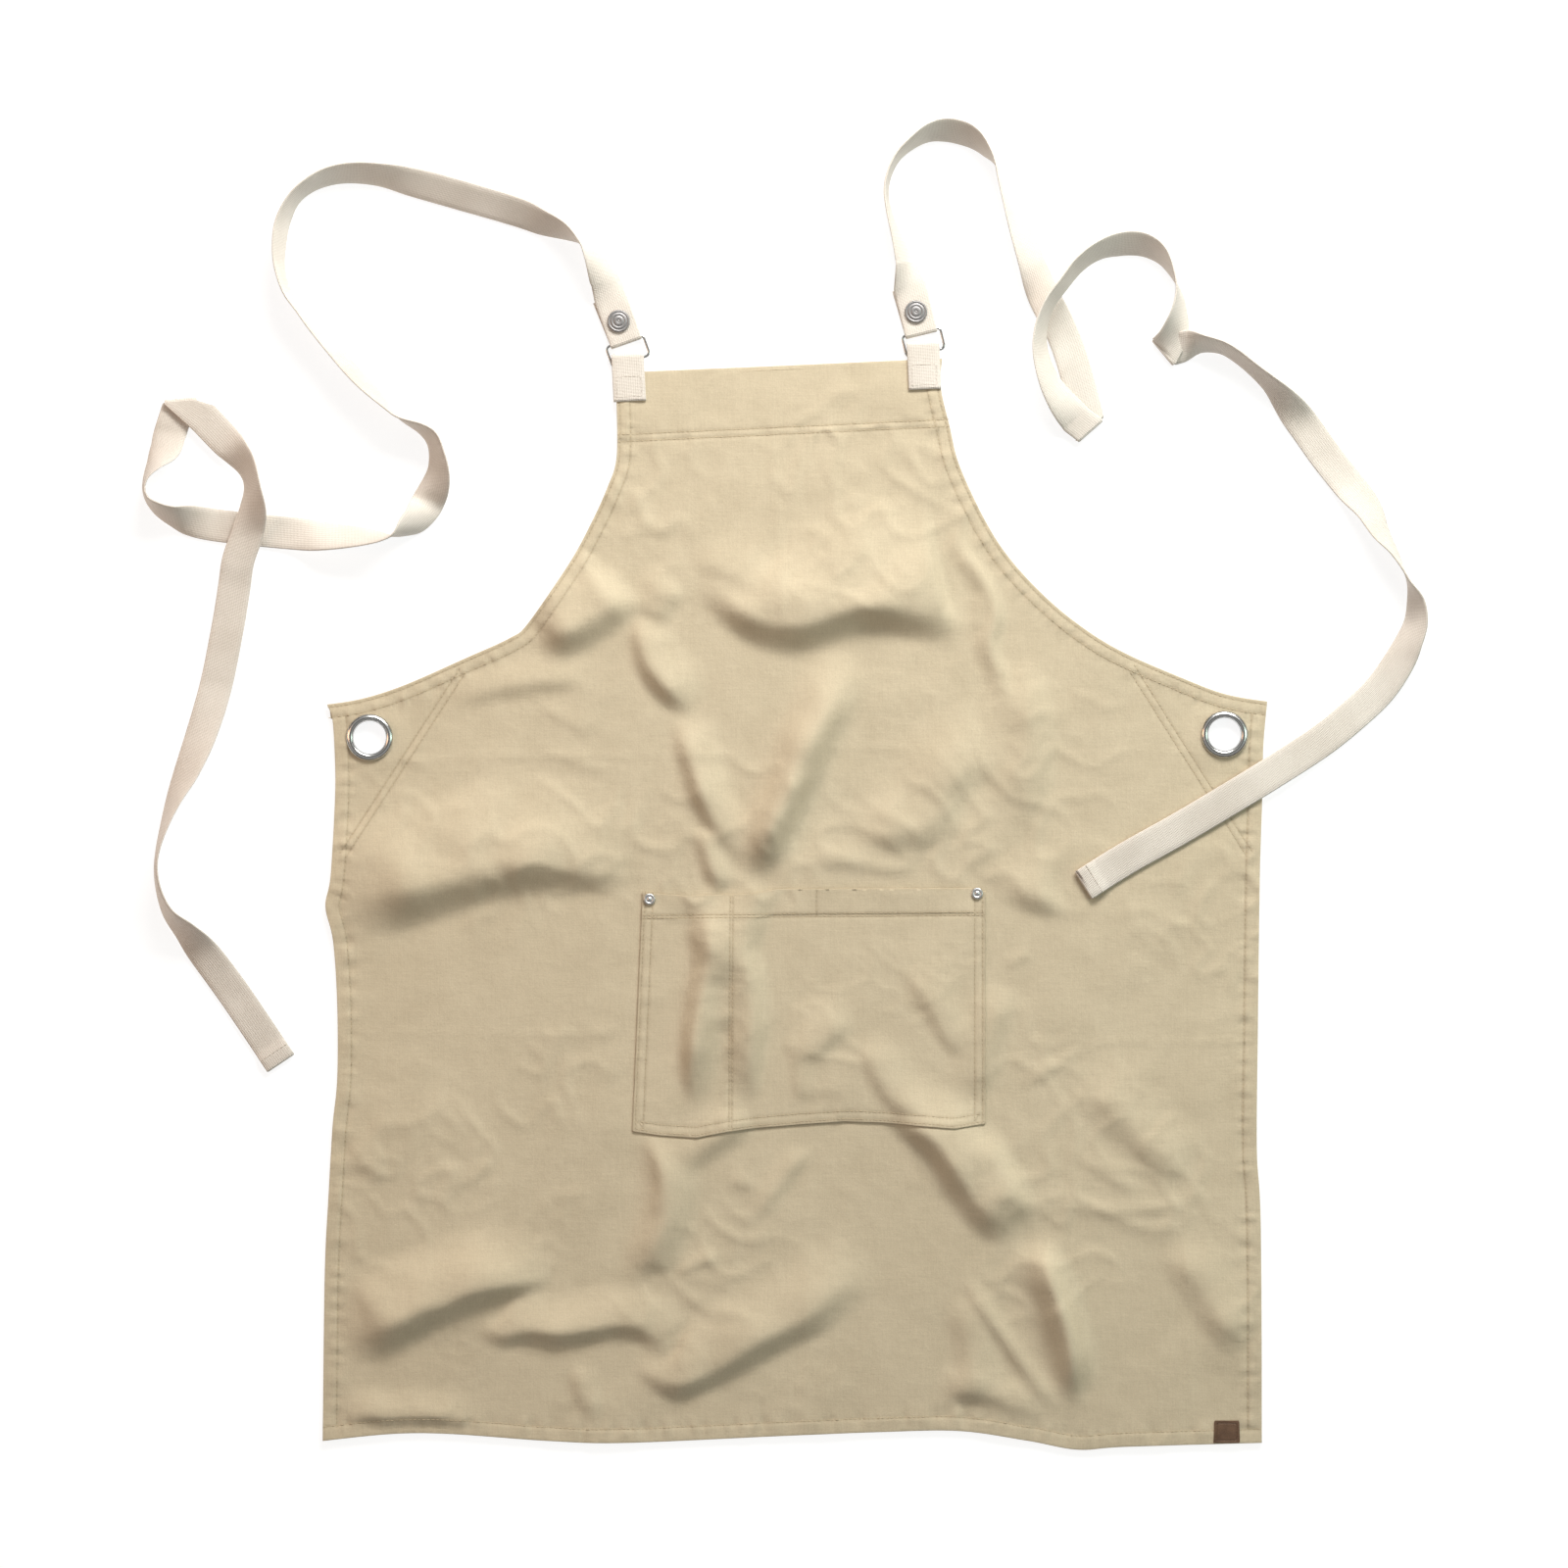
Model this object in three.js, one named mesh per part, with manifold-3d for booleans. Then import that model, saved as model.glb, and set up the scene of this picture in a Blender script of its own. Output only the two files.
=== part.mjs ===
// A cross back apron lying flat: a twill bib apron with a divided pocket, two eyelet grommets,
// and two webbing straps that hang from wire rings on the bib and lie in loose loops beside it.
// Units are millimetres. X runs to the right of the apron, Y up the bib, Z out of the cloth.
import * as THREE from "three";
import { mergeVertices } from "three/addons/utils/BufferGeometryUtils.js";
import Module from "manifold-3d";

const wasm = await Module();
wasm.setup();

// Driving sizes of the cloth
const APRON_WIDTH = 695;
const APRON_LENGTH = 800;
const CLOTH = 1.0;
const HEM_WIDTH = 10.4;
const ARMHOLE_BAND_WIDTH = 11;
const FACING_DEPTH = 54;
const PATCH_ALONG_ARMHOLE = 104;
const PATCH_ALONG_SIDE = 116;
const POCKET_WIDTH = 258;
const POCKET_HEIGHT = 177;
const POCKET_RISE = 233; // from the apron's lower edge to the pocket's lower edge
const POCKET_OFFSET = 13; // from the apron's centre line to the pocket's

// Driving sizes of the webbing, rings, snaps, grommets and rivets
const WEBBING_WIDTH = 24;
const WEBBING = 1.6;
const TAB_WEBBING = 1.4;
const TAB_LENGTH = 35.5;
const LEFT_STRAP_LENGTH = 1438;
const RIGHT_STRAP_LENGTH = 1343;
const STRAP_RETURN = 34;
const STRAP_END_HEM = 10;
const RING_WIRE = 2;
const RING_WIDTH = 29;
const RING_SPAN = 16;
const SNAP_DIAMETER = 16.6;
const SNAP_HEIGHT = 2.6;
const SNAP_SOCKET_DIAMETER = 13;
const SNAP_SOCKET = 0.9;
const SNAP_POST = 4;
const SNAP_FROM_FOLD = 18;
const GROMMET_DIAMETER = 34.7;
const GROMMET_BORE = 23.8;
const GROMMET_HEIGHT = 3;
const GROMMET_WALL = 0.8;
const GROMMET_FROM_SIDE = 31.6;
const GROMMET_FROM_TOP = 24.3;
const WASHER = 0.8;
const RIVET_DIAMETER = 8.9;
const RIVET_HEIGHT = 2;
const RIVET_SHANK = 3;
const RIVET_BURR_DIAMETER = 7;
const RIVET_BURR = 0.9;
const LABEL_WIDTH = 19.5;
const LABEL_HEIGHT = 16.6;
const LABEL = 1.2;
const LABEL_FROM_SIDE = 26;

// Clearance between neighbouring pieces, and the pitch that the cloth and webbing are faceted at
const GAP = 0.3;
const CLOTH_PITCH = 26;
const STRAP_PITCH = 15;
const ROUND_SIDES = 16;
const RIVET_SIDES = 12;

// Levels above the surface that the apron lies on, where the cloth is flat
const PANEL_BASE = CLOTH + GAP;
const PANEL_TOP = PANEL_BASE + CLOTH;
const POCKET_BASE = PANEL_TOP + GAP;
const POCKET_TOP = POCKET_BASE + CLOTH;
const TAB_SEAT = TAB_WEBBING + GAP;
const WASHER_SEAT = WASHER + GAP;
const RIDE = PANEL_TOP + WASHER_SEAT + GAP; // how far a strap is lifted by what it crosses

// The apron's outline, in shares of its width from the centre line and of its length from the bottom
const LEFT_ARMHOLE = [
  [-0.1898, 0.9886], [-0.1885, 0.9621], [-0.1885, 0.9104], [-0.1985, 0.8823], [-0.2145, 0.8515],
  [-0.2385, 0.813], [-0.2824, 0.7576], [-0.302, 0.7437], [-0.35, 0.7247], [-0.4145, 0.7],
  [-0.4595, 0.6875], [-0.4965, 0.6822],
];
const RIGHT_ARMHOLE = [
  [0.1578, 1.0018], [0.1562, 0.9758], [0.1662, 0.9378], [0.1762, 0.9032], [0.204, 0.8515],
  [0.232, 0.8147], [0.2718, 0.7783], [0.3117, 0.7507], [0.3516, 0.73], [0.4115, 0.7073],
  [0.4582, 0.692], [0.5035, 0.685],
];
const LEFT_SIDE = [
  [-0.4965, 0.6822], [-0.4905, 0.6676], [-0.4878, 0.6273], [-0.488, 0.5924], [-0.4925, 0.5236],
  [-0.498, 0.4955], [-0.49, 0.4638], [-0.4855, 0.405], [-0.4855, 0.337], [-0.4905, 0.2917],
  [-0.4948, 0.2283], [-0.4988, 0.1558], [-0.501, 0.0018],
];
const RIGHT_SIDE = [
  [0.5035, 0.685], [0.4994, 0.644], [0.498, 0.5888], [0.4956, 0.519], [0.4936, 0.3823],
  [0.4925, 0.2736], [0.4967, 0.2011], [0.4978, 0.0],
];
const BOTTOM = [
  [-0.501, 0.0018], [-0.428, 0.0082], [-0.3655, 0.0082], [-0.2615, 0.0018], [-0.178, 0.0],
  [-0.0112, 0.0064], [0.0932, 0.01], [0.1766, 0.0109], [0.2495, 0.0018], [0.3016, -0.0063],
  [0.3538, -0.0036], [0.4978, 0.0],
];

// Main folds of the cloth, along a curve from one end over a bend to the other, all in the outline's
// shares. The rise is a share of the apron's length, and the spread to either side one of its width.
const FOLDS = [
  { from: [-0.126, 0.816], bend: [0.02, 0.728], to: [0.182, 0.768], rise: 0.0105, spread: 0.034 },
  { from: [-0.178, 0.784], bend: [-0.105, 0.66], to: [-0.056, 0.528], rise: 0.007, spread: 0.026 },
  { from: [0.072, 0.717], bend: [0.03, 0.618], to: [-0.044, 0.519], rise: 0.008, spread: 0.032 },
  { from: [-0.282, 0.772], bend: [-0.22, 0.776], to: [-0.158, 0.799], rise: 0.006, spread: 0.026 },
  { from: [0.197, 0.862], bend: [0.218, 0.79], to: [0.238, 0.69], rise: 0.006, spread: 0.022 },
  { from: [0.249, 0.64], bend: [0.181, 0.609], to: [0.072, 0.563], rise: 0.007, spread: 0.028 },
  { from: [-0.5, 0.52], bend: [-0.39, 0.527], to: [-0.178, 0.531], rise: 0.012, spread: 0.04 },
  { from: [0.108, 0.305], bend: [0.178, 0.278], to: [0.218, 0.214], rise: 0.01, spread: 0.03 },
  { from: [0.218, 0.214], bend: [0.28, 0.143], to: [0.322, 0.038], rise: 0.009, spread: 0.03 },
  { from: [0.312, 0.291], bend: [0.395, 0.201], to: [0.478, 0.082], rise: 0.007, spread: 0.032 },
  { from: [-0.491, 0.11], bend: [-0.397, 0.128], to: [-0.272, 0.165], rise: 0.01, spread: 0.036 },
  { from: [-0.324, 0.115], bend: [-0.105, 0.094], to: [0.093, 0.165], rise: 0.008, spread: 0.03 },
  { from: [-0.141, 0.278], bend: [-0.147, 0.21], to: [-0.162, 0.156], rise: 0.006, spread: 0.024 },
  { from: [-0.089, 0.495], bend: [-0.103, 0.418], to: [-0.105, 0.319], rise: 0.006, spread: 0.024 },
  { from: [-0.034, 0.509], bend: [-0.053, 0.454], to: [-0.058, 0.409], rise: 0.005, spread: 0.024 },
  { from: [0.151, 0.436], bend: [0.197, 0.373], to: [0.218, 0.337], rise: 0.005, spread: 0.026 },
  { from: [0.156, 0.065], bend: [0.218, 0.047], to: [0.291, 0.029], rise: 0.006, spread: 0.026 },
  { from: [-0.459, 0.051], bend: [-0.391, 0.047], to: [-0.324, 0.047], rise: 0.006, spread: 0.024 },
];

// The pocket's edge, in shares of its width from its middle and of its height from its lower edge
const POCKET_EDGE = [
  [-0.484, 0.9825], [-0.513, -0.016], [-0.434, -0.033], [-0.329, -0.043], [-0.246, -0.019],
  [-0.163, -0.003], [-0.02, 0.014], [0.093, 0.025], [0.205, 0.02], [0.409, -0.004], [0.499, 0.016],
  [0.499, 0.987], [0.455, 1.0], [-0.096, 0.997], [-0.163, 0.976], [-0.36, 0.968],
];
const POCKET_RIVETS = { left: [-0.464, 0.954], right: [0.475, 0.978] };

// Where the webbing of each side hangs, in the outline's shares, and how far it is turned in degrees:
// the ring's bar in the fold of the strap, and the fold of the tab that holds the ring's other bar
const FITTINGS = {
  left: { bar: [-0.1789, 1.0184], barTurn: 19.5, ringShift: -1, tabFold: [-0.1767, 1.0031], tabTurn: 3 },
  right: { bar: [0.1351, 1.0265], barTurn: 13.7, ringShift: 0, tabFold: [0.1374, 1.0141], tabTurn: 2.5 },
};

// The routes of the straps as they lie, from the ring to the free end. x and y run from the ring in
// thousandths of the strap's length. acrossX and acrossY run across the webbing in plan and rise is how
// far that edge stands up, all in shares of its width. layer says how far it rides over what it crosses.
// A fold turns the webbing over on itself: 1 on top of what went before, -1 beneath it.
const STRAP_COLUMNS = ["x", "y", "acrossX", "acrossY", "rise", "layer", "fold"];
const LEFT_ROUTE = [
  [-10.3, 30.7, -0.91, -0.15, 0.4, 0, 0],
  [-14.9, 41.1, -0.63, -0.12, 0.76, 0, 0],
  [-19.3, 47.6, -0.35, -0.06, 0.94, 0, 0],
  [-24.3, 52.2, 0.02, -0.02, 1, 0, 0],
  [-32.3, 57.7, 0.15, 0.42, 0.9, 0, 0],
  [-43.3, 62.2, 0.27, 0.66, 0.7, 0, 0],
  [-57, 68, 0.27, 0.82, 0.51, 0, 0],
  [-92.5, 78.5, 0.24, 0.86, 0.45, 0, 0],
  [-109.6, 83, 0.18, 0.83, 0.53, 0, 0],
  [-125.8, 86.7, 0.12, 0.66, 0.74, 0, 0],
  [-141.1, 87.8, 0.03, 0.59, 0.81, 0, 0],
  [-153.2, 85.9, -0.15, 0.48, 0.86, 0, 0],
  [-163.6, 80.9, -0.24, 0.3, 0.92, 0, 0],
  [-171.4, 73.6, -0.3, 0.18, 0.95, 0, 0],
  [-176.6, 62.5, -0.39, 0.09, 0.92, 0, 0],
  [-178.4, 50.9, -0.36, 0.03, 0.93, 0, 0],
  [-178.1, 38.8, -0.26, -0.03, 0.97, 0, 0],
  [-174.3, 26.7, -0.2, -0.09, 0.98, 0, 0],
  [-167.3, 18.1, -0.27, -0.17, 0.95, 0, 0],
  [-157, 5.7, -0.36, -0.28, 0.9, 0, 0],
  [-138.4, -16.6, -0.31, -0.3, 0.9, 0, 0],
  [-123.2, -31.9, -0.12, -0.16, 0.97, 0, 0],
  [-116.7, -38.2, 0, 0, 1, 0, 0],
  [-105.6, -43.6, 0.14, 0.24, 0.96, 0, 0],
  [-99.8, -49.1, 0.3, 0.34, 0.9, 0, 0],
  [-97.4, -57.7, 0.5, 0.18, 0.85, 0, 0],
  [-97, -65.8, 0.7, 0, 0.7, 0, 0],
  [-99.8, -75.6, 0.92, -0.12, 0.35, 0, 0],
  [-105.6, -87.2, 0.78, -0.39, -0.48, 0, 0],
  [-110.9, -93.2, 0.55, -0.38, -0.74, 0, 0],
  [-116.2, -96.8, 0.24, -0.18, -0.94, 0, 0],
  [-120.8, -98.7, 0, 0.03, -1, 0, 0],
  [-128, -99, -0.03, 0.36, -0.93, 0, 0],
  [-139.6, -99, -0.03, 0.63, -0.77, 0, 0],
  [-155.7, -98.7, -0.03, 0.86, -0.5, 0, 0],
  [-171.1, -97.3, 0, 0.98, -0.1, 0, 0],
  [-191.8, -95.3, 0.06, 1, 0, 0, 0],
  [-209.7, -93.2, 0.09, 1, 0, 0, 0],
  [-223, -91, 0.14, 0.9, 0.35, 0, 0],
  [-232.6, -88.8, 0.16, 0.6, 0.8, 0, 0],
  [-240.4, -85.1, 0.17, 0.35, 0.93, 0, 0],
  [-246, -80, 0.11, 0.11, 0.99, 0, 0],
  [-247.8, -74.1, 0.11, 0.02, 0.99, 0, 0],
  [-246.4, -67.8, 0.2, -0.08, 0.98, 0, 0],
  [-242.6, -61.7, 0.45, -0.24, 0.86, 0, 0],
  [-237.4, -54.6, 0.86, -0.35, 0.4, 0, 0],
  [-234.6, -45.1, 1, -0.2, 0, 0, 0],
  [-229.3, -28.5, 1.25, 0.1, 0, 0, 1],
  [-217.7, -37.6, 0.72, 0.72, 0, 1, 0],
  [-207.2, -48.6, 0.72, 0.68, 0.1, 0.9, 0],
  [-200.4, -55.7, 0.6, 0.62, 0.5, 0.7, 0],
  [-194.8, -63, 0.45, 0.5, 0.72, 0.6, 0],
  [-192, -73.6, 0.55, 0.06, 0.84, 0.8, 0],
  [-192, -85.4, 0.84, -0.04, 0.53, 1, 0],
  [-194.6, -96.5, 0.97, -0.14, 0.15, 1, 0],
  [-199.6, -111.1, 0.98, -0.18, 0, 1, 0],
  [-201.8, -125, 1, -0.18, 0, 0.3, 0],
  [-204.9, -143.9, 1, -0.2, 0, 0, 0],
  [-210.9, -174.1, 1, -0.22, 0, 0, 0],
  [-218.2, -199.3, 0.93, -0.22, 0.25, 0, 0],
  [-225.9, -219.5, 0.77, -0.22, 0.6, 0, 0],
  [-232.2, -233.4, 0.5, -0.17, 0.85, 0, 0],
  [-237, -246.7, 0.29, -0.06, 0.96, 0, 0],
  [-240.7, -260.3, 0.15, 0, 0.99, 0, 0],
  [-241.6, -270.7, 0.14, 0.03, 0.99, 0, 0],
  [-239.8, -281.8, 0.2, 0.09, 0.98, 0, 0],
  [-235.1, -292.8, 0.34, 0.2, 0.92, 0, 0],
  [-226.3, -302.2, 0.57, 0.42, 0.7, 0, 0],
  [-215.7, -315, 0.8, 0.57, 0.2, 0, 0],
  [-200.1, -336.4, 0.82, 0.58, 0, 0, 0],
  [-177.7, -369.7, 0.83, 0.55, 0, 0, 0],
];
const RIGHT_ROUTE = [
  [-9, 39.1, -0.56, -0.12, 0.82, 0, 0],
  [-13.6, 53.9, -0.32, -0.09, 0.94, 0, 0],
  [-18.3, 69, -0.14, -0.03, 0.99, 0, 0],
  [-19.6, 80.1, -0.12, 0, 0.99, 0, 0],
  [-17.6, 89.8, -0.12, 0.06, 0.99, 0, 0],
  [-12.8, 98.7, -0.14, 0.12, 0.98, 0, 0],
  [-4.8, 106, -0.17, 0.26, 0.95, 0, 0],
  [3.8, 111.3, -0.11, 0.5, 0.86, 0, 0],
  [13.3, 112.9, 0, 0.68, 0.73, 0, 0],
  [23, 111, 0.18, 0.66, 0.73, 0, 0],
  [30.3, 106.9, 0.21, 0.48, 0.85, 0, 0],
  [35.7, 101.1, 0.14, 0.25, 0.95, 0, 0],
  [40, 95.1, 0, 0, 1, 0, 0],
  [43.7, 86, -0.21, -0.08, 0.97, 0, 0],
  [48.3, 73.9, -0.42, -0.17, 0.89, 0, 0],
  [53.7, 58.3, -0.6, -0.23, 0.77, 0, 0],
  [60.5, 39.6, -0.77, -0.27, 0.55, 0, 0],
  [67.2, 21.8, -0.93, -0.3, 0.1, 0, 0],
  [74.8, 7, -0.92, -0.3, 0, 0, 0],
  [80.4, -6.2, -0.9, -0.3, 0, 0, 0],
  [85.3, -21.8, -0.94, -0.27, 0, 0, 0],
  [89.9, -39.1, -0.97, -0.3, 0, 0, 0],
  [92.8, -52.6, -0.75, -0.66, 0, 0, 1],
  [85, -46.4, -0.74, -0.66, 0, 1, 0],
  [76.4, -35.9, -0.7, -0.5, 0.5, 1, 0],
  [69.6, -24.3, -0.6, -0.24, 0.76, 1, 0],
  [65.3, -10, -0.5, -0.02, 0.86, 1, 0],
  [65.2, 3.2, -0.39, 0.11, 0.92, 1, 0],
  [69.9, 16.7, -0.3, 0.18, 0.94, 1, 0],
  [77.5, 27.5, -0.24, 0.25, 0.93, 1, 0],
  [86.6, 38.8, -0.24, 0.33, 0.91, 0.5, 0],
  [96.9, 46.3, -0.18, 0.47, 0.86, 0, 0],
  [108.2, 50, -0.06, 0.68, 0.73, 0, 0],
  [119.3, 50.4, 0.09, 0.7, 0.7, 0, 0],
  [127.9, 47.1, 0.21, 0.56, 0.8, 0, 0],
  [134.1, 41, 0.18, 0.33, 0.93, 0, 0],
  [139.2, 30.1, 0, 0, 1, 0, 0],
  [141.4, 21.3, -0.27, -0.02, 0.96, 0.2, 0],
  [141.1, 10.2, -0.6, 0.09, 0.79, 0.7, 0],
  [138.4, -0.3, -0.85, 0.24, 0.4, 1, 0],
  [132.6, -9.5, -0.6, 0.72, 0, 1, -1],
  [145.2, -5.9, 0.03, 0.85, 0.4, 0, 0],
  [154.1, -4.9, 0.06, 0.51, 0.86, 0, 0],
  [164.9, -6.9, 0.14, 0.32, 0.94, 0, 0],
  [173.5, -11.9, 0.2, 0.25, 0.95, 0, 0],
  [182.4, -19.1, 0.21, 0.26, 0.94, 0, 0],
  [191.8, -27.4, 0.32, 0.35, 0.87, 0, 0],
  [199.9, -36.4, 0.55, 0.48, 0.6, 0, 0],
  [210.4, -49.4, 0.77, 0.6, 0.1, 0, 0],
  [222.3, -66.1, 0.82, 0.6, 0, 0, 0],
  [235.5, -82.9, 0.8, 0.56, -0.1, 0, 0],
  [245.8, -95.7, 0.72, 0.42, -0.54, 0, 0],
  [252.5, -109, 0.51, 0.27, -0.81, 0, 0],
  [259, -118.4, 0.27, 0.13, -0.95, 0, 0],
  [263.7, -127, 0.11, 0.06, -0.99, 0, 0],
  [267.7, -135.7, -0.02, 0, -1, 0, 0],
  [271.4, -145.4, -0.45, 0, -0.89, 0, 0],
  [271.7, -157.2, -0.66, 0.08, -0.75, 0, 0],
  [267.9, -168.3, -0.74, 0.27, -0.6, 0, 0],
  [262.8, -179.1, -0.82, 0.42, -0.35, 0, 0],
  [253.6, -193.1, -0.75, 0.63, -0.1, 0, 0],
  [242, -205, -0.66, 0.75, 0, 0, 0],
  [220.7, -222.5, -0.57, 0.82, 0, 0.3, 0],
  [193.4, -240.3, -0.52, 0.86, 0, 1, 0],
  [165.1, -257.6, -0.51, 0.87, 0, 1, 0],
  [139.5, -272.7, -0.51, 0.87, 0, 1, 0],
  [112.5, -287.8, -0.53, 0.86, 0, 1, 0],
  [88.7, -302.7, -0.58, 0.83, 0, 1, 0],
];

// Colours of the photographed apron
const KHAKI = { color: 0xcdbd97, roughness: 0.95, metalness: 0 };
const CREAM = { color: 0xe9e1d3, roughness: 0.9, metalness: 0 };
const NICKEL = { color: 0xc9c9cc, roughness: 0.3, metalness: 1 };
const TAN = { color: 0x8a5f45, roughness: 0.7, metalness: 0 };

const apron = new THREE.Group();

function addMesh(name, geometry, look) {
  const mesh = new THREE.Mesh(geometry, new THREE.MeshStandardMaterial(look));
  mesh.name = name;
  apron.add(mesh);
  return mesh;
}

// A closed three.js geometry as a solid that can be cut, and back again
function toSolid(geometry) {
  const bare = new THREE.BufferGeometry();
  bare.setAttribute("position", geometry.getAttribute("position"));
  if (geometry.index) bare.setIndex(geometry.index);
  const merged = mergeVertices(bare, 1e-4);
  const kept = [];
  const index = merged.index.array;
  for (let i = 0; i < index.length; i += 3) {
    const [a, b, c] = [index[i], index[i + 1], index[i + 2]];
    if (a !== b && b !== c && c !== a) kept.push(a, b, c);
  }
  return new wasm.Manifold(
    new wasm.Mesh({
      numProp: 3,
      vertProperties: merged.getAttribute("position").array,
      triVerts: new Uint32Array(kept),
    }),
  );
}

function toGeometry(solid) {
  const mesh = solid.getMesh();
  const geometry = new THREE.BufferGeometry();
  geometry.setAttribute("position", new THREE.BufferAttribute(mesh.vertProperties, 3));
  geometry.setIndex(new THREE.BufferAttribute(mesh.triVerts, 1));
  geometry.computeVertexNormals();
  return geometry;
}

// Places on the apron, from shares of its width and length, and on the pocket, from shares of its own
const onApron = ([u, v]) => new THREE.Vector2(u * APRON_WIDTH, v * APRON_LENGTH);
const pocketCorner = new THREE.Vector2(POCKET_OFFSET, POCKET_RISE);
const onPocket = ([u, v]) => new THREE.Vector2(u * POCKET_WIDTH, v * POCKET_HEIGHT).add(pocketCorner);

function edgePoints(shares) {
  const spline = new THREE.SplineCurve(shares.map(onApron));
  const steps = Math.ceil(spline.getLength() / CLOTH_PITCH);
  return spline.getSpacedPoints(steps);
}

const leftArmhole = edgePoints(LEFT_ARMHOLE);
const rightArmhole = edgePoints(RIGHT_ARMHOLE);
const leftSide = edgePoints(LEFT_SIDE);
const rightSide = edgePoints(RIGHT_SIDE);
const bottom = edgePoints(BOTTOM);

// A line of points moved sideways: to its left by a positive distance
function offsetLine(points, distance) {
  return points.map((point, i) => {
    const before = points[Math.max(i - 1, 0)];
    const after = points[Math.min(i + 1, points.length - 1)];
    const along = after.clone().sub(before).normalize();
    return new THREE.Vector2(point.x - along.y * distance, point.y + along.x * distance);
  });
}

// The stretch of a line between two distances along it
function stretchOf(points, start, end) {
  const path = new THREE.CurvePath();
  for (let i = 1; i < points.length; i++) path.add(new THREE.LineCurve(points[i - 1], points[i]));
  const length = path.getLength();
  const stop = end > 0 ? end : length + end;
  const steps = Math.ceil((stop - start) / CLOTH_PITCH);
  const distance = (i) => start + ((stop - start) * i) / steps;
  return Array.from({ length: steps + 1 }, (_, i) => path.getPointAt(distance(i) / length));
}

// Height of the cloth's folds over the surface that it lies on
const FOLD_SAMPLES = 24;
const foldLines = FOLDS.map(({ from, bend, to }) =>
  new THREE.QuadraticBezierCurve(onApron(from), onApron(bend), onApron(to)).getPoints(FOLD_SAMPLES),
);
const distanceToLine = (point, line) => Math.min(...line.map((place) => place.distanceTo(point)));

const leftGrommet = leftSide[0].clone().add(new THREE.Vector2(GROMMET_FROM_SIDE, -GROMMET_FROM_TOP));
const rightGrommet = rightSide[0].clone().sub(new THREE.Vector2(GROMMET_FROM_SIDE, GROMMET_FROM_TOP));
const leftTab = onApron(FITTINGS.left.tabFold);
const rightTab = onApron(FITTINGS.right.tabFold);
// Where the cloth is held flat at a height of its own: over washers, tabs and burrs, and under the label
const FACET_REACH = 1.5 * CLOTH_PITCH; // past a seat's edge, so that whole facets of cloth lie flat
const labelCorner = rightSide[rightSide.length - 1];
const SEATS = [
  { at: leftGrommet, rise: WASHER_SEAT, flat: GROMMET_DIAMETER / 2 + FACET_REACH },
  { at: rightGrommet, rise: WASHER_SEAT, flat: GROMMET_DIAMETER / 2 + FACET_REACH },
  { at: leftTab, rise: TAB_SEAT, flat: TAB_LENGTH + FACET_REACH },
  { at: rightTab, rise: TAB_SEAT, flat: TAB_LENGTH + FACET_REACH },
  { at: labelCorner, rise: 0, flat: LABEL_FROM_SIDE + LABEL_HEIGHT + FACET_REACH },
  { at: onPocket(POCKET_RIVETS.left), rise: 0, flat: RIVET_DIAMETER / 2 + FACET_REACH },
  { at: onPocket(POCKET_RIVETS.right), rise: 0, flat: RIVET_DIAMETER / 2 + FACET_REACH },
];
const SEAT_SLOPE = 2 * CLOTH_PITCH; // over which the cloth comes back to its folds

function foldHeight(x, y) {
  const point = new THREE.Vector2(x, y);
  let height = 0;
  FOLDS.forEach((fold, i) => {
    const share = distanceToLine(point, foldLines[i]) / (fold.spread * APRON_WIDTH);
    if (share < 1) height += fold.rise * APRON_LENGTH * (1 - share * share) ** 2;
  });
  for (const seat of SEATS) {
    const beyond = (point.distanceTo(seat.at) - seat.flat) / SEAT_SLOPE;
    const held = 1 - THREE.MathUtils.smoothstep(beyond, 0, 1);
    height = THREE.MathUtils.lerp(height, seat.rise, held);
  }
  return height;
}

// One sheet of cloth a little wider than the whole apron, between two levels above its folds
const SHEET_MARGIN = 0.05;
const SHEET_LEFT = -(0.5 + SHEET_MARGIN) * APRON_WIDTH;
const SHEET_BOTTOM = -SHEET_MARGIN * APRON_LENGTH;
const sheetColumns = Math.ceil(((1 + 2 * SHEET_MARGIN) * APRON_WIDTH) / CLOTH_PITCH);
const sheetRows = Math.ceil(((1 + 2 * SHEET_MARGIN) * APRON_LENGTH) / CLOTH_PITCH);
const sheetHeights = [];
for (let row = 0; row <= sheetRows; row++) {
  for (let column = 0; column <= sheetColumns; column++) {
    const x = SHEET_LEFT + column * CLOTH_PITCH;
    const y = SHEET_BOTTOM + row * CLOTH_PITCH;
    sheetHeights.push([x, y, foldHeight(x, y)]);
  }
}

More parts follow.
